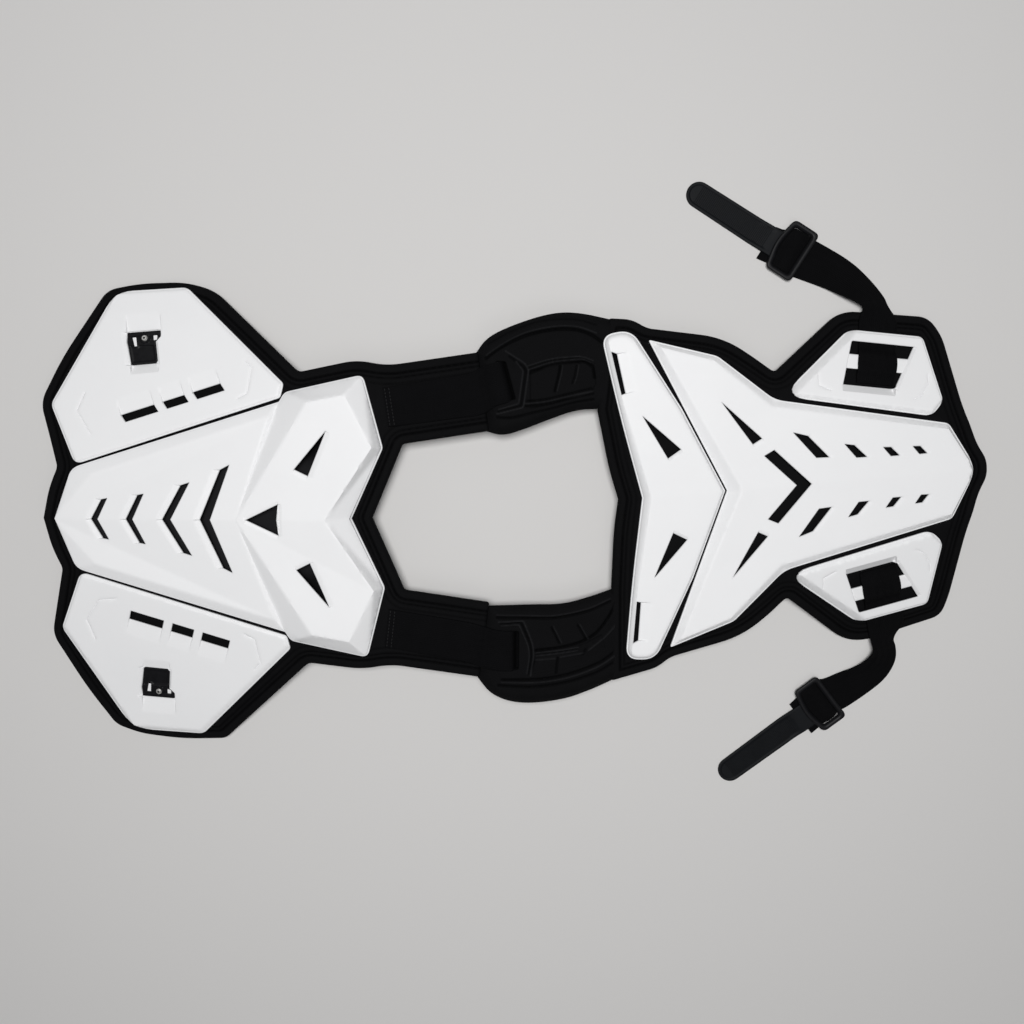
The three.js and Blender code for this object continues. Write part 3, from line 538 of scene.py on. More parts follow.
def moulding(name, panel, edge, openings, height, creases, ramps=(), rim=0.7, lip=0.6, fine=1.8):
    """A moulded plate from its outline, openings, height above the pad, creases and ramps."""
    lips = [np.concatenate([ring, ring[:1]]) for ring in (inset(turned(o), -lip) for o in openings)]
    lines = list(creases) + ramp_creases(ramps) + lips
    cuts = [turned(o) for o in openings]
    plan, faces = tessellate(edge, cuts, lines, (0.2 * rim, 0.6 * rim, FLANGE, FLANGE + STEP), fine)
    rise = eased(faces, height(plan), 1) - ramp_fall(plan, ramps)
    to_rim = away(plan, edge, True)
    to_lip = np.full(len(plan), 50.0)
    for cut in cuts:
        to_lip = np.minimum(to_lip, away(plan, cut, True))
    upper = panel.place(plan, rise - round_over(to_rim, rim) - round_over(to_lip, lip))
    lower = panel.place(plan, np.maximum(rise - WALL, 0.4))
    # the rim attribute carries the distance to the edges and lips, near which the white finish paints shade
    piece = closed_piece(name, upper, lower, faces, white, 24, {"rim": np.minimum(to_rim, to_lip)})
    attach(piece, "root")
    return piece


white, shade, sockets = new_finish("white_moulding", 0.4, specular=0.22)
grain = noise(shade, 1500, 2)
cloud = noise(shade, 16, 5, 0.6)
# painted shade: the white is darkened close to the plates' edges and openings, by the distance in the rim
# attribute
rim_mm = shade.node("ShaderNodeAttribute", {"attribute_name": "rim"}, None, "Fac")
painted_edge_shade = shade.maths("EXPONENT", rim_mm * -0.9) * cloud
tone_and_edge_shade = shade.maths("MINIMUM", cloud * 0.5 + painted_edge_shade * 0.7, 1.0)
coat(
    shade, sockets, tone_and_edge_shade, (0.83, 0.83, 0.835), (0.74, 0.74, 0.75), 0.34 + cloud * 0.14 + grain * 0.08,
    0.22, 0.0004, grain * 0.25 + cloud * 1.5)


def mirror_points(names, side):
    """Plan points of named chest corners on the upper (1) or lower (-1) side."""
    return [(CHEST_POINTS[n][0], CHEST_POINTS[n][1] * side) for n in names.split()]


def chest_height(plan):
    """Height of the chest plate: the facet that each point lies in, inside a flat flange."""
    folded = np.column_stack([plan[:, 0], np.abs(plan[:, 1])])
    height, found = np.zeros(len(plan)), np.full(len(plan), -1e9)
    for facet in CHEST_FACETS:
        a, b, c = (np.array(CHEST_POINTS[n], float) for n in facet.split())
        s, t = np.linalg.solve(np.column_stack([b[:2] - a[:2], c[:2] - a[:2]]), (folded - a[:2]).T)
        inside = np.minimum(np.minimum(s, t), 1 - s - t)
        better = inside > found
        found = np.where(better, inside, found)
        height = np.where(better, a[2] + s * (b[2] - a[2]) + t * (c[2] - a[2]), height)
    return RIM + (height - RIM) * np.clip((away(plan, chest_edge, True) - FLANGE) / STEP, 0, 1)


chest_ramps = []
for tip, inner, end, end_inner in CHEVRONS:
    chest_ramps.append(((tip, 0), end, (-4.5 - 0.04 * end[1], 0.6), 1.5))
chest_ramps += [
    (CHEST_EYE[2], CHEST_EYE[0], (4, -2), 1.0), (CHEST_EYE[1], CHEST_EYE[2], (-1.3, -3.2), 0.9),
    ((78.5, 0), (78.5, 15), (3.4, 0), 1.0), ((78.5, 15), (47.5, 0), (-1.2, 3.4), 0.8),
]
chest_ramps = both_sides(chest_ramps)
chest_edge = turned(whole([(*CHEST_POINTS[n][:2], r) for n, r in CHEST_RIM.items()]))
chest_openings = [chevron_loop(*row) for row in CHEVRONS] + [CHEST_TRIANGLE]
chest_openings += [flipped(CHEST_EYE, side) for side in (1, -1)]
chest_creases = [mirror_points(names, side) for side in (1, -1) for names in CHEST_CREASES]
front_plate = moulding(
    "chest_plate_moulding", chest, chest_edge, cornered(chest_openings, CUT), chest_height, chest_creases,
    chest_ramps)
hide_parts("front_plate")

# Chest side plates: white mouldings on the two lobes, near mirror images of each other, with three louvres
# along the fold, a socket for the strap's hook and short moulded brackets at their ends.
WING_INNER = [(-117, 52, 8), (80.6, 115.2, 3), (83.5, 128.5, 3)]
CHEST_WING = {
    1: WING_INNER + [(-11.7, 220.3, 5), (-82, 216.5, 17), (-142.3, 109.2, 5)],
    -1: WING_INNER + [(-12, 222.5, 5), (-84.5, 218.3, 20), (-143.4, 110, 5)],
}
CHEST_WING_TOP = 5.4
WING_SLOTS = [(57.7, 91), (99.8, 121.5), (130.2, 157.8)]
# each side's slots, in terms of the fold: inner and outer edge, lean of the ends, shift along
SLOT_LIE = {1: (25.3, 33, 2.4, 0), -1: (25, 34.2, 0, -0.8)}
SLOT_CUT, SLOT_RAMP, SLOT_RAMP_DEPTH = 0.5, 16, 1.3
CLIP_HOOK = [
    (-70, 178.6, 1.2), (-38.2, 181, 1.2), (-37.9, 175.6, 0.8), (-43, 170.2, 0.8), (-40.4, 150.4, 2),
    (-65.6, 148.2, 2), (-69, 165, 0.8), (-70.2, 170, 0.8),
]
CLIP_GAP = 0.7
# how far each socket lies from its even place: along, and out from the middle
CLIP_SLIDE = {1: (1.5, -1.7), -1: (0.5, 2.6)}
END_BRACKET = [(47, 150), (53, 144), (49, 119.4), (39.3, 114)]
WING_BRACKETS = {
    1: [[(-108.7, 120), (-116, 103), (-101.5, 80)], END_BRACKET],
    -1: [[(-110.5, 121), (-116.5, 100.5), (-101.5, 80), (-84, 78.6)], END_BRACKET],
}
BRACKET_DEPTH, BRACKET_HALF, BRACKET_BESIDE = 1.1, 0.7, 0.6


def on_clip(rows, side):
    """Rows (u, v, ...) of a socket as it lies on the upper (1) or lower (-1) side plate."""
    return flipped(rows, side, CLIP_SLIDE[side])


def on_fold(s, t):
    """Plan point s along the chest's fold line and t beyond it."""
    c, n = math.cos(chest.rise), math.sin(chest.rise)
    return chest.fold[0] + s * c - t * n, chest.fold[1] + s * n + t * c


def beside(line, gap):
    """The line with a copy of it on either side, as creases."""
    line = np.array(line, float)
    run = np.gradient(line, axis=0)
    normal = np.column_stack([-run[:, 1], run[:, 0]]) / np.hypot(*run.T)[:, None]
    return [line - normal * gap, line, line + normal * gap]


def edge_rise(plan, loop, drops):
    """Fall towards each straight edge of an outline, inside its flange; drops are (width, depth)."""
    loop = np.array(loop, float)[:, :2]
    fall = np.zeros(len(plan))
    for a, b, (width, depth) in zip(loop, np.roll(loop, -1, 0), drops):
        run = (b - a) / np.hypot(*(b - a))
        d = np.abs(run[0] * (plan[:, 1] - a[1]) - run[1] * (plan[:, 0] - a[0]))
        fall = np.maximum(fall, depth * np.clip(1 - (d - FLANGE) / width, 0, 1))
    return fall


def inward(a, b, inner):
    """Unit vectors along the stretch from a to b, and across it towards an inner point."""
    run = (b - a) / np.hypot(*(b - a))
    normal = np.array([-run[1], run[0]])
    return run, normal if normal @ (inner - a) > 0 else -normal


def inner_lines(loop, drops):
    """The creases where the falls towards the edges begin."""
    loop = np.array(loop, float)[:, :2]
    lines = []
    for a, b, (width, _) in zip(loop, np.roll(loop, -1, 0), drops):
        run, normal = inward(a, b, loop.mean(0))
        width = width + FLANGE
        lines.append([a + normal * width + run * width, b + normal * width - run * width])
    return lines


def side_plate(name, panel, corners, top, falls, marks, openings, ramps):
    """A side plate: a flat top that falls towards its edges, with fine brackets moulded along the marks."""
    outline = [(u, v) for u, v, _ in corners]

    def height(plan):
        rise = top - edge_rise(plan, outline, falls)
        for mark in marks:
            rise -= BRACKET_DEPTH * np.clip(1 - away(plan, mark) / BRACKET_HALF, 0, 1)
        return rise

    creases = [line for mark in marks for line in beside(mark, BRACKET_BESIDE)]
    creases += inner_lines(outline, falls)
    return moulding(name, panel, turned(corners), openings, height, creases, ramps)


# falls towards the edges, from the fold's edge on: width, depth
WING_FALLS = {
    1: [(1.7, 1.5)] * 6,
    -1: [(1.7, 1.5), (1.7, 1.5), (4, 2.2), (3, 2), (3, 2), (1.7, 1.5)],
}
# ramps beside the socket: edge ends, run-out, depth; the lower one's inner ramp is shallower
INNER_RAMP = {1: 4.2, -1: 1.2}
CLIP_RAMPS = [
    ((-70.8, 179.2), (-37.5, 181.7), (-1, 17), 2.2), ((-70.9, 179), (-66.2, 147.4), (-5.4, 0.5), 2.0),
    ((-39.6, 149.6), (-42.4, 170), (2.4, 0), 1.0),
]
INNER_EDGE = ((-66.2, 147.4), (-39.6, 149.6), (1, -8.4))
for name, side in (("upper", 1), ("lower", -1)):
    near, far, lean, slide = SLOT_LIE[side]
    slots = [
        [on_fold(s0 + slide + lean, near), on_fold(s1 + slide + lean, near), on_fold(s1 + slide, far),
         on_fold(s0 + slide, far)] for s0, s1 in WING_SLOTS]
    outward = np.array(on_fold(0, 1)) - np.array(on_fold(0, 0))
    ramps = [(slot[3], slot[2], tuple(outward * SLOT_RAMP), SLOT_RAMP_DEPTH) for slot in slots]
    ramps = [(*flipped((a, b, r), side), d) for a, b, r, d in ramps]
    socket_ramps = CLIP_RAMPS + [(*INNER_EDGE, INNER_RAMP[side])]
    ramps += [(*on_clip((a, b), side), *flipped((r,), side), d) for a, b, r, d in socket_ramps]
    marks = [flipped(bracket, side) for bracket in WING_BRACKETS[side]]
    openings = cornered([flipped(slot, side) for slot in slots], SLOT_CUT)
    openings += cornered([inset(turned(on_clip(CLIP_HOOK, side)), -CLIP_GAP)], 0)
    wing = side_plate(
        f"chest_side_plate_{name}", chest, flipped(CHEST_WING[side], side), CHEST_WING_TOP,
        WING_FALLS[side], marks, openings, ramps)
    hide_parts(f"front_wing_{name}")

# Clip hooks: black moulded keepers in the side plates' sockets, with a lip at the outer end and two slots
# that show the white ledge below, each held by one tubular steel rivet.
HOOK_SLOTS = [
    [(-65.9, 174.2, 0.6), (-61.9, 174.5, 0.6), (-60.8, 166, 0.6), (-63.6, 165.6, 0.6)],
    [(-45.4, 176.4, 0.6), (-41, 176.7, 0.6), (-41.4, 172.2, 0.6), (-45, 171.4, 0.6)],
]
HOOK_TOP, HOOK_THICK = 4.0, 2.0
# the lip at the outer end: where it begins, its rise; the sunk field: where it ends, its depth, its frame
LIP_FROM, LIP_RISE = 175, 1.0
FIELD_TO, FIELD_SINK, FRAME_WIDTH, FRAME_RISE = 167, 1.3, 2.4, 0.6
CLIP_LEDGE = [(-70.5, 180, 1), (-37, 182.5, 1), (-40, 162, 1), (-68, 160, 1)]
LEDGE_TOP, LEDGE_LOW = 1.6, 0.3
# a distance far from any edge, so that the white finish paints no edge shade on the ledge
FAR_FROM_EDGES = 20.0
BOSS_RADIUS, BOSS_RISE = 5.2, 1.3
RIVET_RADIUS, RIVET_DOME = 2.9, 1.3

dark_plastic, shade, sockets = new_finish("black_moulding", 0.42, specular=0.14)
grain = noise(shade, 1300, 3)
scuff = noise(shade, 120, 5, 0.7)
coat(
    shade, sockets, scuff, (0.003, 0.003, 0.0036), (0.009, 0.009, 0.0105),
    0.3 + scuff * 0.25 + grain * 0.05, 0.3, 0.0002, grain + scuff * 0.6)

steel, shade, sockets = new_finish("rivet_steel", 0.3, metallic=1.0)
brushed = noise(shade, 1600, 4)
coat(
    shade, sockets, brushed, (0.72, 0.71, 0.68), (0.9, 0.89, 0.86), 0.42 + brushed * 0.2, 0.2, 0.0001,
    brushed)

for name, side in (("upper", 1), ("lower", -1)):
    edge = turned(on_clip(CLIP_HOOK, side))
    cuts = [turned(on_clip(slot, side)) for slot in HOOK_SLOTS]
    plan, faces = tessellate(edge, cuts, (), (0.15, 0.4, 0.8), 0.75)
    out_along = plan[:, 1] * side - CLIP_SLIDE[side][1]
    to_edge = np.minimum(away(plan, edge, True), np.minimum(*(away(plan, cut, True) for cut in cuts)))
    lip_up = LIP_RISE * np.clip((out_along - LIP_FROM) / 0.9, 0, 1)
    from_rivet = np.hypot(*(plan - np.array(on_clip([CLIP_RIVET], side))).T)
    lip_up = np.maximum(lip_up, BOSS_RISE * np.clip((BOSS_RADIUS - from_rivet) / 0.6, 0, 1))
    sunk = np.clip((FIELD_TO - out_along) / 1.2, 0, 1)
    lip_up -= sunk * (FIELD_SINK - FRAME_RISE * np.clip((FRAME_WIDTH - to_edge) / 0.6, 0, 1))
    upper = chest.place(plan, HOOK_TOP + lip_up - round_over(to_edge, 0.7))
    lower = chest.place(plan, HOOK_TOP - HOOK_THICK - FIELD_SINK * sunk)
    hook = closed_piece(f"clip_hook_moulding_{name}", upper, lower, faces, dark_plastic)
    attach(hook, "root")
    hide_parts(f"clip_hook_{name}")

    plan, faces = tessellate(turned(on_clip(CLIP_LEDGE, side)), (), (), (0.4,), 3)
    ledge = closed_piece(
        f"clip_ledge_{name}", chest.place(plan, LEDGE_TOP), chest.place(plan, LEDGE_LOW), faces, white, 40,
        {"rim": np.full(len(plan), FAR_FROM_EDGES)})
    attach(ledge, "root")


class Tree:
    """A Geometry Nodes tree with named inputs for its sizes, ending in real geometry with one material."""

    def __init__(self, name, sizes):
        self.group = bpy.data.node_groups.new(name, "GeometryNodeTree")
        face = self.group.interface
        face.new_socket(name="Geometry", in_out="INPUT", socket_type="NodeSocketGeometry")
        self.keys = {}
        kinds = {**dict.fromkeys(sizes, "NodeSocketFloat"), "Finish": "NodeSocketMaterial"}
        for key, kind in kinds.items():
            self.keys[key] = face.new_socket(name=key, in_out="INPUT", socket_type=kind).identifier
        face.new_socket(name="Geometry", in_out="OUTPUT", socket_type="NodeSocketGeometry")
        self.given = self.group.nodes.new("NodeGroupInput")

    def node(self, kind, settings=None, sockets=None):
        made = self.group.nodes.new(kind)
        for key, value in (settings or {}).items():
            setattr(made, key, value)
        for key, value in (sockets or {}).items():
            if isinstance(value, bpy.types.NodeSocket):
                self.group.links.new(value, made.inputs[key])
            else:
                made.inputs[key].default_value = value
        return made

    def close(self, geometry):
        real = self.node("GeometryNodeRealizeInstances", None, {0: geometry})
        dressed = self.node("GeometryNodeSetMaterial", None, {
            "Geometry": real.outputs[0], "Material": self.given.outputs["Finish"]})
        self.node("NodeGroupOutput", None, {0: dressed.outputs[0]})

    def make(self, name, holder, finish, **sizes):
        """Runs the tree on a holder object and keeps the result as a plain mesh piece."""
        modifier = holder.modifiers.new("repeat", "NODES")
        modifier.node_group = self.group
        for key, value in {**sizes, "Finish": finish}.items():
            modifier[self.keys[key]] = value
        ready = holder.evaluated_get(bpy.context.evaluated_depsgraph_get())
        mesh = bpy.data.meshes.new_from_object(ready)
        mesh.name = name
        holder.modifiers.remove(modifier)
        bpy.data.objects.remove(holder)
        piece = bpy.data.objects.new(name, mesh)
        bpy.context.collection.objects.link(piece)
        return piece


rivets = Tree("rivet_heads", ["Radius", "Dome"])
head = rivets.node("GeometryNodeMeshCone", {"fill_type": "NGON"}, {
    "Vertices": 28, "Side Segments": 3, "Fill Segments": 1, "Radius Top": 0.62, "Radius Bottom": 1.0,
    "Depth": 1.0})
eye = rivets.node(
    "GeometryNodeMeshCylinder", {"fill_type": "NGON"},
    {"Vertices": 20, "Side Segments": 1, "Radius": 0.42, "Depth": 2.0})
sunk = rivets.node("GeometryNodeTransform", None, {"Geometry": eye.outputs[0], "Translation": (0, 0, 0.5)})
drilled = rivets.node("GeometryNodeMeshBoolean", {"operation": "DIFFERENCE"}, {"Mesh 1": head.outputs[0]})
rivets.group.links.new(sunk.outputs[0], drilled.inputs["Mesh 2"])
scale = rivets.node("ShaderNodeCombineXYZ", None, {
    0: rivets.given.outputs["Radius"], 1: rivets.given.outputs["Radius"], 2: rivets.given.outputs["Dome"]})
lean = rivets.node("GeometryNodeInputNamedAttribute", {"data_type": "FLOAT_VECTOR"}, {"Name": "lean"})
upright = rivets.node("FunctionNodeAlignRotationToVector", {"axis": "Z"}, {"Vector": lean.outputs[0]})
placed = rivets.node("GeometryNodeInstanceOnPoints", None, {
    "Points": rivets.given.outputs["Geometry"], "Instance": drilled.outputs[0],
    "Rotation": upright.outputs[0], "Scale": scale.outputs[0]})
rivets.close(placed.outputs[0])
rivet_seats = np.array([on_clip([CLIP_RIVET], side)[0] for side in (1, -1)])
rivet_base = chest.place(rivet_seats, HOOK_TOP + BOSS_RISE)
seat_mesh = bpy.data.meshes.new("rivet_seats")
seat_mesh.from_pydata([tuple(base) for base in rivet_base], [], [])
rivet_lean = [
    (-chest.slope * math.sin(chest.rise), chest.slope * math.cos(chest.rise) * side, 1) for side in (1, -1)]
seat_mesh.attributes.new("lean", "FLOAT_VECTOR", "POINT").data.foreach_set("vector", np.ravel(rivet_lean))
seats = bpy.data.objects.new("rivet_seats", seat_mesh)
bpy.context.collection.objects.link(seats)
rivet_heads = rivets.make("clip_rivet_heads", seats, steel, Radius=RIVET_RADIUS * MM, Dome=RIVET_DOME * MM)
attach(rivet_heads, "root")
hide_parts("clip_rivet_upper", "clip_rivet_lower")

# Back pad: a second sheet of the same foam, cut for the back, with the same pressed border.
# It lies turned a few degrees from the chest, and its waist lobes slope down to the floor.
BACK_PAD = [
    (-197.5, 0, 0), (-204, 30, 30), (-211, 88, 3), (-193.5, 173.5, 3), (-172, 170.5, 12), (-158, 161, 6),
    (-86, 146, 22), (-38, 108.8, 5), (33, 162.5, 16), (118, 149, 14), (129, 130, 16), (140.5, 58, 20),
    (151, 24, 12), (160, 8, 10), (160, -8, 10), (151, -24, 12), (140, -58, 20), (126, -128, 14),
    (119, -148, 14), (27.4, -170.5, 24), (-38.5, -112, 5), (-86, -146, 22), (-158, -161, 6),
    (-172, -170.5, 12), (-218, -180, 3), (-211, -88, 3), (-204, -30, 30),
]
# the back panel's offset across and its turn, as it lies beside the chest
BACK_ASIDE, BACK_TURN = 34.3, 5
back = Panel(
    "back_pad", PLAN_X + HALF_SPREAD, CHEST_Y + BACK_ASIDE, BACK_TURN, (-31.5, 83.5), -12.7, 13, (-62, -30))
back_pad = foam_pad(
    "back_pad_foam", back, BACK_PAD, BACK_PAD, [(8.5, 1.0, 1.5), (12.5, 0.9, 1.0), (17.5, 0.9, 0.7)], 0.1)
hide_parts("back_pad")

# Collar plate: a white V-shaped moulding along the neck's edge of the back pad, bevelled towards the neck.
# Each arm has a ramped slot near its end and a triangle cut through.
COLLAR = [
    (-175, 0, 0), (-190.5, 80, 60), (-202.8, 158, 13), (-173.5, 160.8, 13), (-131, 82.3, 0), (-94.6, 0, 0),
]
COLLAR_SLOT = [(-194.5, 141.5), (-189.3, 139), (-184, 101.4), (-188, 100.2)]
COLLAR_TRIANGLE = [(-169.5, 78.5), (-135.3, 43.7), (-148.3, 36)]
# height of the back's plates, their ridge along the middle line and how far out it runs
BACK_TOP, BACK_RIDGE, COLLAR_RIDGE_RUN = 7.2, 2.2, 150
# bevels: edge from the middle line outwards, width of its bevel at each end
COLLAR_BEVELS = [
    (((-175, 0), (-192.5, 88)), 6.5, 5), (((-192.5, 88), (-202.8, 158)), 5, 3.6),
]
# the narrow bevel round the rest of its edge, wider at the arms' ends, and how hollow all the bevels are
COLLAR_NARROW, COLLAR_END, COLLAR_END_FROM = 2.2, 3.4, 132
COLLAR_HOLLOW = 0.7
COLLAR_RINGS = (2.3, 3.2, 4.4)


def mirrored_bevels(bevels):
    """Bevels of the upper half with their mirror images."""
    return bevels + [(tuple((u, -v) for u, v in line), near, far) for line, near, far in bevels]


def bevel_share(plan, bevels):
    """How far up the bevels each point lies: 0 on the flat flange, 1 on the top."""
    share = np.ones(len(plan))
    for line, near, far in bevels:
        a, b = (np.array(p, float) for p in line)
        t = np.clip((plan - a) @ (b - a) / ((b - a) @ (b - a)), 0, 1)
        width = near + (far - near) * t
        share = np.minimum(share, np.clip((away(plan, line) - FLANGE) / width, 0, 1))
    return share


def bevel_creases(bevels, inner):
    """The creases along the inner side of the bevels; inner is a point of the top's upper half."""
    lines = []
    for line, near, far in bevels:
        a, b = (np.array(p, float) for p in line)
        _, normal = inward(a, b, np.array([inner[0], inner[1] * np.sign(b[1] or 1)]))
        lines.append([tuple(a + normal * (near + FLANGE)), tuple(b + normal * (far + FLANGE))])
    return lines


collar_bevels = mirrored_bevels(COLLAR_BEVELS)
collar_edge = turned(whole(COLLAR), 10)


def collar_height(plan):
    out = np.abs(plan[:, 1])
    rise = BACK_TOP - RIM + BACK_RIDGE * (1 - np.clip(out / COLLAR_RIDGE_RUN, 0, 1))
    width = np.interp(out, [COLLAR_END_FROM, COLLAR_END_FROM + 20], [COLLAR_NARROW, COLLAR_END])
    narrow = np.clip((away(plan, collar_edge, True) - FLANGE) / width, 0, 1)
    return RIM + rise * np.minimum(narrow, bevel_share(plan, collar_bevels)) ** COLLAR_HOLLOW


collar_ramps = both_sides([
    (COLLAR_SLOT[2], COLLAR_SLOT[1], (10.5, 1.2), 1.5),
    (COLLAR_TRIANGLE[2], COLLAR_TRIANGLE[1], (1.5, -2.4), 0.9),
])
collar_openings = [flipped(loop, s) for loop in (COLLAR_SLOT, COLLAR_TRIANGLE) for s in (1, -1)]
collar_creases = [[(-174, 0), (-95, 0)]] + bevel_creases(collar_bevels, (-150, 60))
for distance in COLLAR_RINGS:
    ring = inset(collar_edge, distance)
    collar_creases.append(np.concatenate([ring, ring[:1]]))
collar = moulding(
    "collar_plate_moulding", back, collar_edge, cornered(collar_openings, CUT), collar_height,
    collar_creases, collar_ramps)
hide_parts("collar_plate")

# Back plate: a white roof-shaped moulding from the shoulders down to the waist, bevelled along its sides.
# A chevron, two triangles and four pairs of small slots are cut through it.
BACK_PLATE = [
    (-93, 0, 0), (-158.5, 150, 3), (-94, 129, 4), (-42, 83, 9), (122.5, 46.3, 4), (141.5, 11.5, 8),
    (145, 0, 6),
]
BACK_CHEVRON = (-13, -27.3, (-46.6, 35.5), (-56.4, 30.6))
BACK_TRIANGLE = [(-93.5, 85), (-57.3, 47.3), (-66.5, 42.4)]
BACK_SLOTS = [
    [(-27.5, 50.5), (-13.6, 46), (5.4, 24), (-7, 24.6)],
    [(20.6, 35.3), (30, 33.4), (41.4, 21.2), (31.2, 21.4)],
    [(57, 29.2), (64.6, 28.6), (72.4, 20), (64, 20)],
    [(85.2, 27.6), (92.4, 27.2), (98.8, 19.8), (91.2, 19.6)],
]
BACK_RIDGE_RUN = 70
BACK_BEVELS = [
    (((-93, 0), (-158.5, 150)), 11, 5), (((-158.5, 150), (-94, 129)), 3, 4),
    (((-94, 129), (-42, 83)), 4.5, 6), (((-42, 83), (122.5, 46.3)), 5.5, 4.5),
    (((122.5, 46.3), (141.5, 11.5)), 3.5, 3), (((141.5, 11.5), (145, 0)), 3, 3),
]
back_bevels = mirrored_bevels(BACK_BEVELS)


def back_height(plan):
    rise = BACK_TOP - RIM + BACK_RIDGE * (1 - np.clip(np.abs(plan[:, 1]) / BACK_RIDGE_RUN, 0, 1))
    return RIM + rise * bevel_share(plan, back_bevels)


back_ramps = both_sides(
    [(slot[2], slot[1], (4.5, 1), 0.4) for slot in BACK_SLOTS]
    + [(BACK_TRIANGLE[2], BACK_TRIANGLE[1], (1.6, -2.6), 0.9)])
back_openings = [chevron_loop(*BACK_CHEVRON)]
back_openings += [flipped(loop, s) for loop in (BACK_TRIANGLE, *BACK_SLOTS) for s in (1, -1)]
back_creases = [[(-92.5, 0), (143.5, 0)]] + bevel_creases(back_bevels, (-20, 30))
back_plate = moulding(
    "back_plate_moulding", back, turned(whole(BACK_PLATE)), cornered(back_openings, CUT), back_height,
    back_creases, back_ramps)
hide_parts("back_plate")

# Back side plates: small white mouldings on the waist lobes, mirror images of each other. A window in each
# is crossed by a flat bar that the waist strap loops round, and a wide bevel faces the collar.
BACK_WING = [(-35, 85.5, 24), (106.5, 54.3, 9), (119, 67, 6), (107, 130.3, 5), (37, 143.3, 8)]
BACK_WING_TOP = 6.6
BACK_WING_FALLS = [(3.4, 3.0), (2.4, 2.4), (1.2, 1.2), (1.2, 1.2), (6, 5.8)]
BACK_WINDOW = [(37.5, 132.5, 2), (97, 121.3, 1), (73.5, 82.8, 4), (24, 92, 1)]
BACK_BRACKETS = [[(1.4, 105), (1, 92.8), (12.4, 87.2)], [(107, 95), (106.5, 86.7), (98.7, 75.3), (91, 72)]]
BAR_U, BAR_V, BAR_HALF, BAR_TOP = 59.5, 108.6, 7, 5.0
BAR_LEAN = math.radians(-10.3)
BAR_LENGTH, BAR_LOW, BAR_ROUND = 62, 2.4, 1.2
# how far each side plate lies from its even place: along, and out from the middle
LOBE_SLIDE = {1: (0, 0), -1: (-5.5, 1.5)}


def on_lobe(rows, side):
    """Rows (u, v, ...) of a back side plate as they lie on the upper (1) or lower (-1) lobe."""
    return flipped(rows, side, LOBE_SLIDE[side])


def on_bar(out, across, side):
    """Plan point measured out from the bar's middle and across along it."""
    c, n = math.cos(BAR_LEAN), math.sin(BAR_LEAN)
    return on_lobe([(BAR_U + across * c - out * n, BAR_V + across * n + out * c)], side)[0]


for name, side in (("upper", 1), ("lower", -1)):
    window = on_lobe(BACK_WINDOW, side)
    marks = [on_lobe(bracket, side) for bracket in BACK_BRACKETS]
    window_ramps = [
        (window[3][:2], window[2][:2], (-0.8, -6.5 * side), 5.2),
        (window[2][:2], window[1][:2], (2.6, -1 * side), 1.4),
    ]
    wing = side_plate(
        f"back_side_plate_{name}", back, on_lobe(BACK_WING, side), BACK_WING_TOP, BACK_WING_FALLS, marks,
        [window], window_ramps)
    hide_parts(f"back_wing_{name}")

    half = BAR_LENGTH / 2
    bar_corners = ((-BAR_HALF, -half), (-BAR_HALF, half), (BAR_HALF, half), (BAR_HALF, -half))
    bar_edge = turned([(*on_bar(out, across, side), 1) for out, across in bar_corners])
    plan, faces = tessellate(bar_edge, (), (), (0.2, 0.6, BAR_ROUND), 1.6)
    rim = away(plan, bar_edge, True)
    bar = closed_piece(
        f"strap_bar_{name}", back.place(plan, BAR_TOP - round_over(rim, BAR_ROUND)),
        back.place(plan, BAR_LOW), faces, white, 40, {"rim": rim})
    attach(bar, "root")

# Shoulder pads: thick moulded foam between the chest tabs and the back, with a rolled border, a raised frame
# round the strap's slot and ribs pressed into the middle. The lower one is a mirror in make, not in its lie.
SHOULDER_ROWS = {
    "upper": [
        (-34.5, 157, -24, 83, 5.5), (-24, 172, -9, 78.7, 9), (0, 183.5, 10, 84.5, 9), (36, 195, 37, 95, 9),
        (62, 196, 62, 103.7, 9), (94.5, 189.2, 86.5, 104.6, 8),
    ],
    "lower": [
        (-34, -159, -25, -87, 5.5), (-20, -177.5, -4, -86.5, 9), (8, -186.5, 20, -85.7, 9),
        (50, -182.5, 50, -86, 9), (78, -173, 78, -78.5, 9), (101.5, -163, 101, -70.8, 8),
    ],
}
SHOULDER_SLOT = {
    "upper": [(-15.3, 149.3), (-6.2, 149.2), (3.4, 113.8), (-5.4, 112.8)],
    "lower": [(-4, -111.5), (6.3, -111.5), (6.3, -149.6), (-4, -149.6)],
}
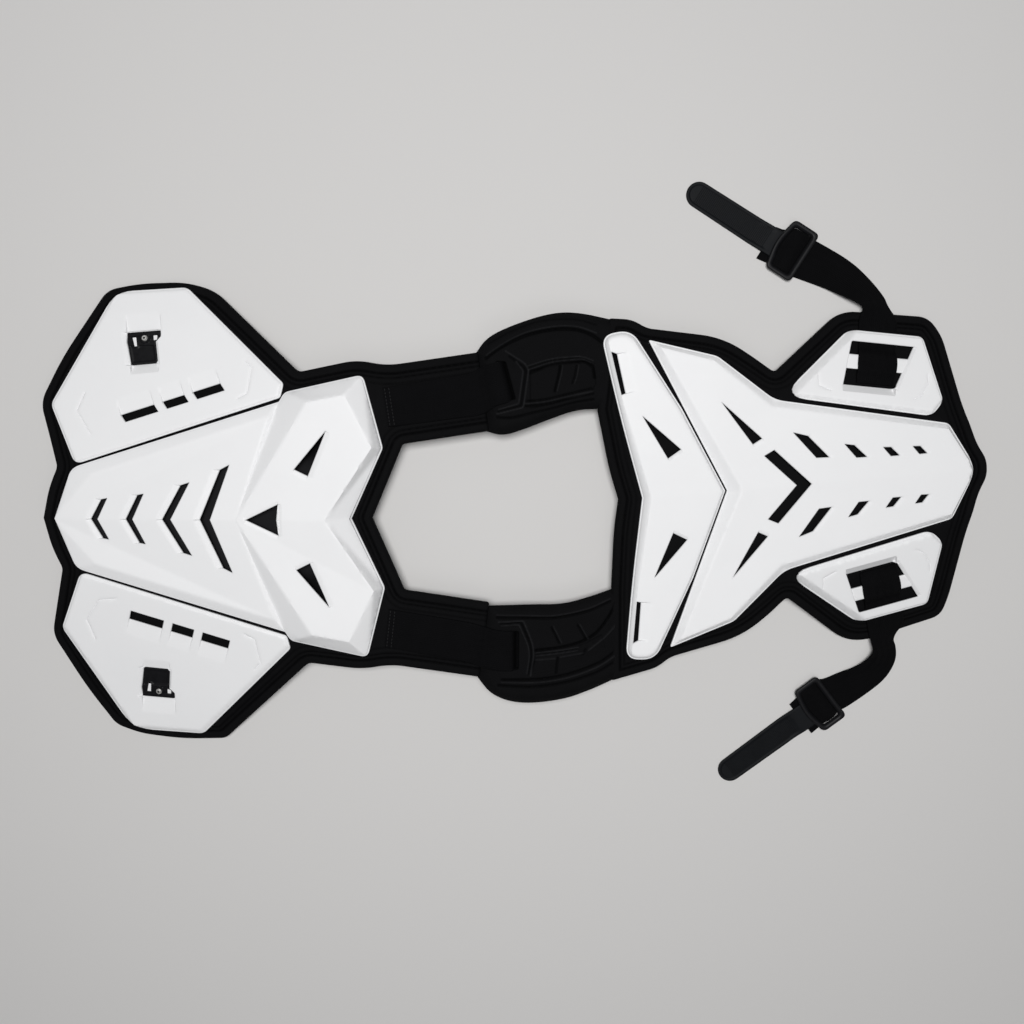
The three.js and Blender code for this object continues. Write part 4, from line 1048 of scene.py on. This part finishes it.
# relief lines: half width, height (below zero for a groove), then the line
SHOULDER_LINES = {
    "upper": [
        (1.3, -2.0, [(-25, 152), (-14, 160.4), (-2.6, 167), (12.4, 173.6), (29, 177.7), (46, 180),
                     (62, 179.3), (76, 174.4), (85, 168)]),
        (0.8, 1.0, [(-24, 155), (-12, 163.4), (-1, 170), (12.4, 176.3), (29, 180.4), (46, 182.7), (64, 182),
                    (80, 176)]),
        (1.0, -0.9, [(-22.6, 165.4), (-9.2, 173.6), (7.4, 181), (24, 186.8), (44, 189.2), (62.3, 189.2),
                     (80, 184)]),
        (0.9, 1.4, [(-5.9, 158.8), (12.5, 147.2), (15.8, 141.4), (10.8, 106), (-14.3, 99.9)]),
        (0.9, -1.2, [(-2.5, 154), (10.6, 144.5), (13.4, 140.8), (8.8, 107.6), (-13.3, 101.8)]),
        (0.8, 1.0, [(4.1, 148.9), (10.6, 140.6), (6.4, 109.5), (-12.7, 104)]),
        (0.8, 1.3, [(15, 144.8), (37.5, 152.2), (65.8, 154.2), (76.7, 150.2)]),
        (0.7, -0.9, [(15.6, 143.2), (37.5, 150.8), (66.2, 153), (76, 149.3)]),
        (0.7, 1.1, [(16.6, 141.9), (37.5, 149.2), (66.7, 151.8), (75.1, 148.4)]),
        (1.1, -1.6, [(17.5, 138.6), (37.5, 146.4), (69.2, 149.4), (77.3, 144.3), (79, 134)]),
        (1.1, -1.8, [(45.9, 144.8), (45.1, 139), (41, 121.5)]),
        (0.8, 1.0, [(48, 144.8), (47.2, 139), (43, 122)]),
        (0.9, -1.2, [(61.7, 145.6), (60.1, 135.6), (57.7, 129)]),
        (0.8, 0.9, [(63.5, 145.6), (61.9, 135.6), (59.5, 129)]),
        (0.9, -1.3, [(14.2, 112), (31, 113.2), (54.4, 119), (76.1, 124)]),
        (0.8, 0.9, [(13, 109.5), (31, 111), (55.3, 116.8), (77, 121.5)]),
        (0.9, -1.3, [(11.7, 107), (31, 108.7), (56.1, 114.7), (77.8, 119)]),
        (1.1, -1.4, [(-14.4, 96.6), (-0.9, 95.8), (17.6, 100.5), (37.7, 104.6), (59.5, 110.6), (78, 113.5)]),
    ],
    "lower": [
        (1.2, -1.6, [(-14.7, -97.9), (12.8, -97.9), (38.6, -98.8), (55.8, -96.2), (76.4, -91.8), (96, -83)]),
        (0.8, 0.9, [(-14.7, -95.4), (12.8, -95.4), (38.6, -96.3), (55.8, -93.8), (76, -89.3), (96, -80.4)]),
        (0.9, 1.3, [(-13, -102.3), (11.1, -100.6), (22.4, -128.8), (18.1, -155.4)]),
        (0.9, -1.2, [(-11.7, -103.9), (9, -102.4), (20.3, -129.6), (16.4, -154.5)]),
        (0.8, 1.1, [(-10.4, -105.7), (6.8, -104.3), (18.1, -130.5), (14.7, -153.6)]),
        (1.2, -2.2, [(23.2, -130.5), (47.4, -127.9), (66.4, -123.5), (81.8, -115.5), (92, -103.2),
                     (105, -81)]),
        (0.8, 1.2, [(24.1, -133), (45.7, -131.1), (64.7, -128.3)]),
        (0.7, -0.9, [(24.1, -134.4), (45.7, -132.5), (64.5, -129.7)]),
        (0.8, 1.1, [(24.1, -135.9), (45.7, -133.9), (63.8, -131.3)]),
        (1.0, -1.4, [(38.7, -107.6), (46.5, -123.5)]), (1.0, -1.4, [(64.5, -105.9), (72.4, -119.9)]),
        (0.8, 0.9, [(40.6, -107), (48.4, -122.9)]), (0.8, 0.9, [(66.4, -105.3), (74.3, -119.3)]),
        (1.0, -1.3, [(22.4, -141.2), (18.1, -154.5)]), (1.0, -1.4, [(44.9, -138.5), (43.2, -153.6)]),
        (1.0, -1.2, [(72.5, -130.5), (69.9, -135.8)]),
        (0.8, 0.9, [(23.3, -140.3), (42.3, -139)]), (0.8, 0.9, [(47.5, -137.6), (69.9, -134.1)]),
        (0.8, 1.0, [(75.1, -131.4), (90.5, -119.9), (103, -106)]),
        (1.2, -1.7, [(-9.6, -159.8), (30.3, -159.8), (61.4, -153.6), (89, -142.9), (101, -134)]),
        (0.8, 1.0, [(-10, -162.2), (28, -163), (60, -157.4), (87.5, -147), (101, -138)]),
        (1.2, -1.5, [(-13.1, -165.5), (21.6, -168), (56.3, -162.7), (85.8, -153.4), (101, -144)]),
    ],
}
SHOULDER_HOLLOW = {
    "upper": [(17, 141), (69, 150), (78, 146), (80, 128), (76, 121), (40, 109.5), (17.5, 105)],
    "lower": [(24, -133), (62, -128), (88, -116), (92, -130), (72, -146), (20, -154)],
}
SHOULDER_SINK = {"upper": 1.6, "lower": 1.2}
SHOULDER_BOW = 3
# the rolled border: thickness at the edge, width, fullness; the least thickness anywhere
SHOULDER_EDGE, SHOULDER_ROLL, SHOULDER_FULL, SHOULDER_LEAST = 2.2, 11, 2.2, 1.5
SHOULDER_RIPPLE = 0.25


def smooth_line(points, passes=3):
    """A line with its corners cut again and again, so that it runs in one curve between its ends."""
    points = np.array(points, float)
    for _ in range(passes):
        near = points[:-1] * 0.75 + points[1:] * 0.25
        far = points[:-1] * 0.25 + points[1:] * 0.75
        cut = np.empty((2 * len(near), points.shape[1]))
        cut[0::2], cut[1::2] = near, far
        points = np.concatenate([points[:1], cut[1:-1], points[-1:]])
    return points


def traced(line):
    """A relief line whose gentle bends run in a curve and whose sharp corners stay."""
    line = np.array(line, float)
    points = [line[0]]
    for before, here, after in zip(line, line[1:], line[2:]):
        back_run, run = before - here, after - here
        lengths = np.hypot(*back_run), np.hypot(*run)
        sharp = back_run @ run > -0.82 * lengths[0] * lengths[1]
        cut = min(0.45 * lengths[0], 0.45 * lengths[1], 2 if sharp else 50)
        start, stop = here + back_run / lengths[0] * cut, here + run / lengths[1] * cut
        for t in np.linspace(0, 1, 5):
            points.append((1 - t) ** 2 * start + 2 * t * (1 - t) * here + t * t * stop)
    return np.array([*points, line[-1]])


for name, rows in SHOULDER_ROWS.items():
    table = np.array(rows)
    outer = smooth_line(np.concatenate([table[:1, :2], table[:, :2], table[-1:, :2]]))
    inner = smooth_line(np.concatenate([table[:1, 2:4], table[:, 2:4], table[-1:, 2:4]]))
    edge = np.concatenate([outer, inner[::-1]])
    edge = turned([(x, y, 0) for x, y in edge])
    slot = turned([(x, y, 2) for x, y in SHOULDER_SLOT[name]])
    plan, faces = tessellate(edge, [slot], (), (0.4, 1.3, 2.6), 0.85)
    middle_x = (table[:, 0] + table[:, 2]) / 2
    middle_y = (table[:, 1] + table[:, 3]) / 2
    lean = np.interp(plan[:, 0], middle_x, (table[:, 2] - table[:, 0]) / (table[:, 3] - table[:, 1]))
    along = plan[:, 0] - (plan[:, 1] - np.interp(plan[:, 0], middle_x, middle_y)) * lean
    share = np.interp(along, middle_x, np.linspace(0, 1, len(rows)))
    under = (chest.top - PAD_THICK) * (1 - share) + (back.top - PAD_THICK) * share
    under = under + SHOULDER_BOW * np.sin(np.pi * share)
    thick = np.interp(along, middle_x, table[:, 4])
    rim = away(plan, edge, True)
    free_rim = np.minimum(away(plan, outer), away(plan, inner))
    free_rim = np.minimum(free_rim, away(plan, [outer[0], inner[0]]))
    crown = 1 - np.clip(1 - free_rim / SHOULDER_ROLL, 0, 1) ** SHOULDER_FULL
    height = SHOULDER_EDGE + (thick - SHOULDER_EDGE) * crown
    hollow = SHOULDER_HOLLOW[name]
    depth_in = away(plan, hollow, True) * np.where(within(plan, hollow), 1, -1)
    height -= SHOULDER_SINK[name] * np.clip((depth_in + 0.6) / 1.4, 0, 1)
    # painted shade darkens the colour along the grooves, and painted highlight lightens it along the ridges
    pressed, proud = np.zeros(len(plan)), np.zeros(len(plan))
    for half, rise, line in SHOULDER_LINES[name]:
        mark = np.exp(-(away(plan, traced(line)) / half) ** 2)
        height += rise * mark
        if rise > 0:
            proud = np.maximum(proud, mark * rise / 1.2)
        else:
            pressed = np.maximum(pressed, -mark * rise / 1.4)
    height -= round_over(away(plan, slot, True), 1.2)
    height = np.clip(height + ripple(plan, SHOULDER_RIPPLE), SHOULDER_LEAST, None)
    at = plan + np.array([PLAN_X, PLAN_Y])
    upper = np.column_stack([at, under + height]) * MM
    lower = np.column_stack([at, under + round_over(rim, 1.6)]) * MM
    marks = {"pressed": np.clip(pressed, 0, 1), "proud": np.clip(proud, 0, 1)}
    pad = closed_piece(f"shoulder_pad_foam_{name}", upper, lower, faces, foam, 50, marks)
    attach(pad, "root")
    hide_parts(f"shoulder_pad_{name}")

# Hook straps: flat woven webbing sewn to the chest tabs with two rows of stitches, lying along the tab
# and going down through the shoulder pad's slot to its back.
WEB_THICK = 2.0
TAB_ON = PAD_THICK + 0.3 + WEB_THICK / 2
# rows: edge a in plan, edge b in plan, height of the webbing's middle above the chest pad's inner face
HOOK_STRAP = {
    "upper": [
        (-123, 124.5, -118, 87.5, TAB_ON), (-86, 130.5, -80.5, 92.2, TAB_ON), (-49, 136.5, -43, 97, TAB_ON),
        (-41, 138, -35, 97.8, TAB_ON), (-34.5, 140.5, -28, 99.4, TAB_ON), (-29.5, 144, -22, 102.5, 7),
        (-24, 145.8, -16.5, 106.5, 9.6), (-18.5, 147.3, -11, 108.8, 11.4), (-13, 148.7, -3.5, 111, 11.5),
        (-10.2, 150.5, -0.2, 113.2, 7.5), (-9.6, 150.5, 0.4, 113.2, 2), (-7.6, 150.7, 2.4, 113.4, -1.6),
        (-4, 151.2, 6, 113.9, -2.4), (14, 154, 24, 116.7, -1.3),
    ],
    "lower": [
        (-120, -89, -124.5, -127, TAB_ON), (-82, -95.3, -86.5, -133.8, TAB_ON),
        (-45, -101.5, -49, -140.5, TAB_ON), (-37, -103.5, -41, -142.5, TAB_ON),
        (-29.5, -105.5, -35, -145, TAB_ON), (-24, -107.8, -29.5, -148.3, 7), (-19, -109, -23.5, -149.4, 9.6),
        (-13, -110, -15, -150.3, 11.4), (-1, -110.6, -1, -150.8, 11.5),
        (1.6, -110.4, 1.6, -150.6, 7.5), (2.2, -110.4, 2.2, -150.6, 2), (4.2, -110.4, 4.2, -150.6, -1.6),
        (7.8, -110.3, 7.8, -150.5, -2.4), (26, -109, 26, -149.2, -1.3),
    ],
}

webbing, shade, sockets = new_finish("black_webbing", 0.85, specular=0.07)
weave_uv = shade.node("ShaderNodeUVMap", {"uv_map": "weave"})
across = shade.node("ShaderNodeSeparateXYZ", None, {0: weave_uv}, "X")
along = shade.node("ShaderNodeSeparateXYZ", None, {0: weave_uv}, "Y")
RIB, PICK = 0.0019, 0.0013
zig = shade.maths("PINGPONG", across, 2 * RIB)
twill = shade.maths("SINE", (along + zig * 0.7) * (2 * math.pi / PICK))
ribs = shade.maths("SINE", across * (2 * math.pi / RIB))
lint = noise(shade, 650, 5)
fade = noise(shade, 55, 3)
web_wear = twill * 0.18 + lint * 0.5 + fade * 0.3
coat(
    shade, sockets, web_wear, (0.0006, 0.0006, 0.0008), (0.0048, 0.0048, 0.0055), 0.72 + lint * 0.22,
    0.6, 0.0004, twill * 0.5 + ribs * 0.35 + lint * 0.5)


def band(name, left, right, thick, finish):
    """Webbing between two edge lines, with soft edges and its weave laid out in its UV map, in metres."""
    across = right - left
    middle = (left + right) / 2
    ahead = np.gradient(middle, axis=0)
    normal = np.cross(ahead, across)
    normal /= np.linalg.norm(normal, axis=1)[:, None]
    normal *= np.sign(normal[:, 2:].sum() or 1)
    shares = np.array([0, 0.012, 0.05, 0.2, 0.35, 0.5, 0.65, 0.8, 0.95, 0.988, 1])
    swell = np.array([0.45, 0.8, 1, 1, 1, 1, 1, 1, 1, 0.8, 0.45]) * thick / 2
    top = left[:, None] + across[:, None] * shares[None, :, None] + normal[:, None] * swell[None, :, None]
    low = left[:, None] + across[:, None] * shares[None, :, None] - normal[:, None] * swell[None, :, None]
    ring = np.concatenate([top, low[:, ::-1]], 1)
    count, size = ring.shape[:2]
    faces = []
    for i in range(count - 1):
        for k in range(size):
            a, b = i * size + k, i * size + (k + 1) % size
            faces.append((a, b, b + size, a + size))
    faces.append(tuple(range(size))[::-1])
    faces.append(tuple((count - 1) * size + k for k in range(size)))
    points = ring.reshape(-1, 3)
    first = np.cross(points[faces[0][1]] - points[faces[0][0]], points[faces[0][2]] - points[faces[0][0]])
    if first @ normal[0] < 0:
        faces = [f[::-1] for f in faces]
    piece = new_piece(name, points, faces, finish, 60)
    width = np.linalg.norm(across, axis=1)
    length = np.concatenate([[0], np.cumsum(np.linalg.norm(np.diff(middle, axis=0), axis=1))])
    share_ring = np.concatenate([shares, shares[::-1]])
    place = np.stack([share_ring[None] * width[:, None], np.repeat(length[:, None], size, 1)], 2)
    layer = piece.data.uv_layers.new(name="weave")
    corner = np.zeros(len(piece.data.loops), np.int32)
    piece.data.loops.foreach_get("vertex_index", corner)
    layer.data.foreach_set("uv", place.reshape(-1, 2)[corner].astype(np.float32).reshape(-1))
    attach(piece, "root")
    return piece


def row_tree(name, one, scales):
    """A tree that repeats one small shape along a curve, scaled in x, y and z by its named sizes."""
    tree = Tree(name, ["Pitch", *dict.fromkeys(scales)])
    spots = tree.node(
        "GeometryNodeCurveToPoints", {"mode": "LENGTH"},
        {"Curve": tree.given.outputs["Geometry"], "Length": tree.given.outputs["Pitch"]})
    size = tree.node(
        "ShaderNodeCombineXYZ", None, {k: tree.given.outputs[key] for k, key in enumerate(scales)})
    placed = tree.node("GeometryNodeInstanceOnPoints", None, {
        "Points": spots.outputs["Points"], "Instance": one(tree), "Rotation": spots.outputs["Rotation"],
        "Scale": size.outputs[0]})
    tree.close(placed.outputs[0])
    return tree


def one_stitch(tree):
    return tree.node("GeometryNodeMeshUVSphere", None, {"Segments": 7, "Rings": 5, "Radius": 0.5}).outputs[0]


stitches = row_tree("stitch_rows", one_stitch, ("Width", "Width", "Length"))

thread_finish, shade, sockets = new_finish("black_thread", 0.55, specular=0.3)
twist = noise(shade, 2600, 3)
coat(
    shade, sockets, twist, (0.003, 0.003, 0.0035), (0.01, 0.01, 0.011), 0.45 + twist * 0.2, 0.4, 0.0001,
    twist)


def path_object(name, lines):
    """A curve object with one straight-stretch spline for each line of points, in metres."""
    curve = bpy.data.curves.new(name, "CURVE")
    curve.dimensions = "3D"
    for line in lines:
        spline = curve.splines.new("POLY")
        spline.points.add(len(line) - 1)
        for point, place in zip(spline.points, line):
            point.co = (*place, 1)
    holder = bpy.data.objects.new(name, curve)
    bpy.context.collection.objects.link(holder)
    return holder


# rows of stitches as shares of the sewn part, and the stitches' pitch, length and width
STITCH_ROWS = (0.03, 0.085)
STITCH_PITCH, STITCH_LENGTH, STITCH_WIDTH = 3.2, 2.6, 0.9
for name, rows in HOOK_STRAP.items():
    table = smooth_line(rows, 3)
    level = chest.top - PAD_THICK
    left = np.column_stack([table[:, 0] + PLAN_X, table[:, 1] + PLAN_Y, table[:, 4] + level]) * MM
    right = np.column_stack([table[:, 2] + PLAN_X, table[:, 3] + PLAN_Y, table[:, 4] + level]) * MM
    strap = band(f"hook_strap_webbing_{name}", left, right, WEB_THICK * MM, webbing)
    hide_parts(f"hook_strap_{name}")
    rows_at = []
    for share in STITCH_ROWS:
        edge_a = np.array([np.interp(share, [0, 1], [rows[0][k], rows[2][k]]) for k in (0, 1)])
        edge_b = np.array([np.interp(share, [0, 1], [rows[0][k], rows[2][k]]) for k in (2, 3)])
        height = (level + TAB_ON + WEB_THICK / 2 + 0.15) * MM
        ends = [edge_a + (edge_b - edge_a) * s for s in (0.06, 0.94)]
        rows_at.append([((p[0] + PLAN_X) * MM, (p[1] + PLAN_Y) * MM, height) for p in ends])
    seam = stitches.make(
        f"hook_strap_stitches_{name}", path_object("seam_path", rows_at), thread_finish,
        Pitch=STITCH_PITCH * MM, Length=STITCH_LENGTH * MM, Width=STITCH_WIDTH * MM)
    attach(seam, "root")

# Waist straps: the same webbing, looped round the bar of each back side plate. It leaves under the plate's
# rim, folds over the pad's edge and lies on the floor as far as its slider buckle.
# in the window: distance out from the bar's middle, height of the webbing's middle above the pad, half width
STRAP_ON_BAR = [
    (-20, 1.4, 17.6), (-14, 1.6, 18), (-10, 4.2, 18.4), (-7, 6.4, 18.6), (0, 6.9, 19), (7, 6.4, 18.6),
    (10, 4.2, 18.2), (14, 1.6, 17.8), (22, 1.4, 18), (30, 1.4, 18.5), (44.6, 1.4, 18.5),
]
# on the floor: edge a in plan and height, edge b in plan and height
STRAP_RUN = {
    "upper": [
        (364, 203, 7, 340, 202, 13.5), (362, 212, 3, 333, 206, 13.5), (347, 230, 1.3, 317.5, 213.5, 9),
        (328, 247, 1.3, 304.5, 220.5, 3), (296.5, 264.5, 1.3, 275, 231, 1.3),
    ],
    "lower": [
        (383, -125, 7, 361, -131, 14), (389, -135.5, 3, 363, -138, 14), (390, -151, 1.3, 357.5, -147.5, 10),
        (380.5, -169, 1.3, 347, -156.5, 5), (363, -184, 1.3, 333, -162.5, 1.5),
        (339, -201, 1.3, 317, -170, 1.3),
    ],
}
# buckle: plan place, turn, how far the tongue stands out, its offset across, and the strap's
BUCKLE_AT = {"upper": (270, 255.5, 148.2, -3, 2, -0.8), "lower": (313, -193.7, 217.6, 6, 2.6, -0.5)}
# in the buckle: distance along to the tongue's tip, height of the webbing's middle, shift across, half width
STRAP_IN_BUCKLE = [
    (-13, 1.6, 0, 20), (-9, 2.6, 0.2, 20.3), (-5, 4.6, 0.4, 20.4), (-1, 5.6, 0.5, 20.4), (3, 4.8, 0.6, 20.4),
    (7, 3.2, 0.8, 20.4), (12, 2.2, 1.2, 20),
]
# the strap's end beyond the buckle, in the same terms
STRAP_END = {
    "upper": [(16, 1.3, 4.6, 17.6), (24.5, 1.3, 6, 17.4), (25, 1.3, 6, 17.2)],
    "lower": [(16, 1.3, 3, 19.4), (24.5, 1.3, 3.8, 19.2), (25, 1.3, 3.8, 19)],
}


def at_buckle(name, x, y):
    """Plan point x along the strap, towards the tongue's tip, and y across it from the buckle's middle."""
    px, py, turn = BUCKLE_AT[name][:3]
    c, n = math.cos(math.radians(turn)), math.sin(math.radians(turn))
    return px + x * c - y * n + PLAN_X, py + x * n + y * c + PLAN_Y


for name, side in (("upper", 1), ("lower", -1)):
    left, right = [], []
    for out, height, half in STRAP_ON_BAR:
        for edge, across in ((left, half), (right, -half)):
            edge.append(back.place(np.array([on_bar(out, across, side)]), height)[0] / MM)
    for ax, ay, az, bx, by, bz in STRAP_RUN[name]:
        left.append((ax + PLAN_X, ay + PLAN_Y, az))
        right.append((bx + PLAN_X, by + PLAN_Y, bz))
    for x, height, shift, half in STRAP_IN_BUCKLE + STRAP_END[name]:
        shift += BUCKLE_AT[name][5]
        left.append((*at_buckle(name, x, shift - half * side), height))
        right.append((*at_buckle(name, x, shift + half * side), height))
    left, right = smooth_line(left, 3) * MM, smooth_line(right, 3) * MM
    strap = band(f"waist_strap_webbing_{name}", left, right, WEB_THICK * MM, webbing)
    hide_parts(f"waist_strap_{name}")

# Slider buckles: black moulded frames with a bowed front bar, sloped inside towards the window. The webbing
# is threaded through them, and they hold the rubber tongue.
BUCKLE = [(-14, -26, 5), (14, -26, 5), (19.5, 0, 14), (14, 26, 5), (-14, 26, 5)]
BUCKLE_WINDOW = [(-8.5, -20.5, 2), (9.5, -20.5, 2), (14, 0, 10), (9.5, 20.5, 2), (-8.5, 20.5, 2)]
BUCKLE_LOW, BUCKLE_HIGH, BUCKLE_ROUND = 5.4, 9.2, 1.3
BUCKLE_SLOPE, BUCKLE_SLOPE_RUN = 1.6, 2.4
for name in ("upper", "lower"):
    edge = turned(BUCKLE, 8)
    window = turned(BUCKLE_WINDOW, 8)
    plan, faces = tessellate(edge, [window], (), (0.2, 0.6, BUCKLE_ROUND), 0.9)
    to_window = away(plan, window, True)
    rim = np.minimum(away(plan, edge, True), to_window)
    slope_in = BUCKLE_SLOPE * np.clip(1 - to_window / BUCKLE_SLOPE_RUN, 0, 1)
    at = np.array([at_buckle(name, x, y) for x, y in plan])
    upper = np.column_stack([at, BUCKLE_HIGH - round_over(rim, BUCKLE_ROUND) * 0.8 - slope_in]) * MM
    lower = np.column_stack([at, BUCKLE_LOW + round_over(rim, BUCKLE_ROUND) * 0.7]) * MM
    buckle = closed_piece(f"slider_buckle_frame_{name}", upper, lower, faces, dark_plastic)
    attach(buckle, "root")
    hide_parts(f"slider_buckle_{name}")

# Tongues: moulded rubber straps with a rounded tip, a raised border and close cross ribs on top, which
# hook into the chest's side plates when the protector is worn.
TONGUE_HALF, TONGUE_TIP_HALF, TONGUE_LENGTH, TONGUE_THICK = 13, 12.3, 120, 2.4
TONGUE_BASE, TONGUE_BORDER = 13.5, 2.6
# its underside over the strap's end and on the floor, and where it comes down
TONGUE_OVER, TONGUE_FLOOR, TONGUE_FALL, TONGUE_DOWN = 2.7, 0.3, 25, 43
# the sunk panel: where it begins and its depth; the ribs in it: first, last from the tip, seat, pitch, size
PANEL_FROM, PANEL_SINK = 26, 0.8
RIB_FIRST, RIB_LAST, RIB_SEAT, RIB_PITCH, RIB_SIZE = 30, 12, 0.75, 1.7, 0.85

rubber, shade, sockets = new_finish("black_rubber", 0.6, specular=0.12)
bloom = noise(shade, 70, 5, 0.7)
pores = noise(shade, 1800, 2)
coat(
    shade, sockets, bloom, (0.0025, 0.0029, 0.0036), (0.0075, 0.0085, 0.0102), 0.5 + bloom * 0.2,
    0.25, 0.0002, pores + bloom)


def one_rib(tree):
    bar = tree.node(
        "GeometryNodeMeshCylinder", {"fill_type": "NGON"}, {"Vertices": 10, "Radius": 0.5, "Depth": 1.0})
    turn = {"Geometry": bar.outputs[0], "Rotation": (0, math.pi / 2, 0)}
    return tree.node("GeometryNodeTransform", None, turn).outputs[0]


rib_rows = row_tree("cross_ribs", one_rib, ("Width", "Size", "Size"))


def tongue_under(x):
    """Height of the tongue's underside: over the strap's end at the buckle, then down to the floor."""
    t = np.clip((x - TONGUE_FALL) / (TONGUE_DOWN - TONGUE_FALL), 0, 1)
    return TONGUE_OVER + (TONGUE_FLOOR - TONGUE_OVER) * t * t * (3 - 2 * t)


tongue_tip = [
    (TONGUE_LENGTH - TONGUE_TIP_HALF * (1 - math.cos(turn)), TONGUE_TIP_HALF * math.sin(turn))
    for turn in np.linspace(-math.pi / 2, math.pi / 2, 25)]
for name, (_, _, _, pull, offset, _) in BUCKLE_AT.items():
    root = TONGUE_BASE - pull
    edge = np.array([
        *tongue_tip, (44, TONGUE_HALF), (root, TONGUE_HALF), (root, -TONGUE_HALF), (44, -TONGUE_HALF)])
    plan, faces = tessellate(edge, (), (), (0.2, 0.6, 1.2, 2.2, 2.8, 3.6), 2.2)
    rim = away(plan, edge, True)
    panel_in = np.clip((rim - TONGUE_BORDER) / 0.7, 0, 1) * np.clip((plan[:, 0] - PANEL_FROM) / 2, 0, 1)
    top = TONGUE_THICK - round_over(rim, 0.9) - PANEL_SINK * panel_in
    at = np.array([at_buckle(name, x + pull, y + offset) for x, y in plan])
    under = tongue_under(plan[:, 0] + pull)
    upper = np.column_stack([at, under + top]) * MM
    lower = np.column_stack([at, under]) * MM
    tongue = closed_piece(f"strap_tongue_rubber_{name}", upper, lower, faces, rubber)
    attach(tongue, "root")
    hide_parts(f"strap_tongue_{name}")
    spine = []
    for x in np.linspace(RIB_FIRST, TONGUE_LENGTH - RIB_LAST, 40) + pull:
        seat = tongue_under(x) + TONGUE_THICK - RIB_SEAT
        spine.append(tuple(np.array((*at_buckle(name, x, offset), seat)) * MM))
    ribs_piece = rib_rows.make(
        f"tongue_ribs_{name}", path_object("rib_path", [spine]), rubber, Pitch=RIB_PITCH * MM,
        Size=RIB_SIZE * MM, Width=2 * (TONGUE_HALF - TONGUE_BORDER - 1.2) * MM)
    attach(ribs_piece, "root")
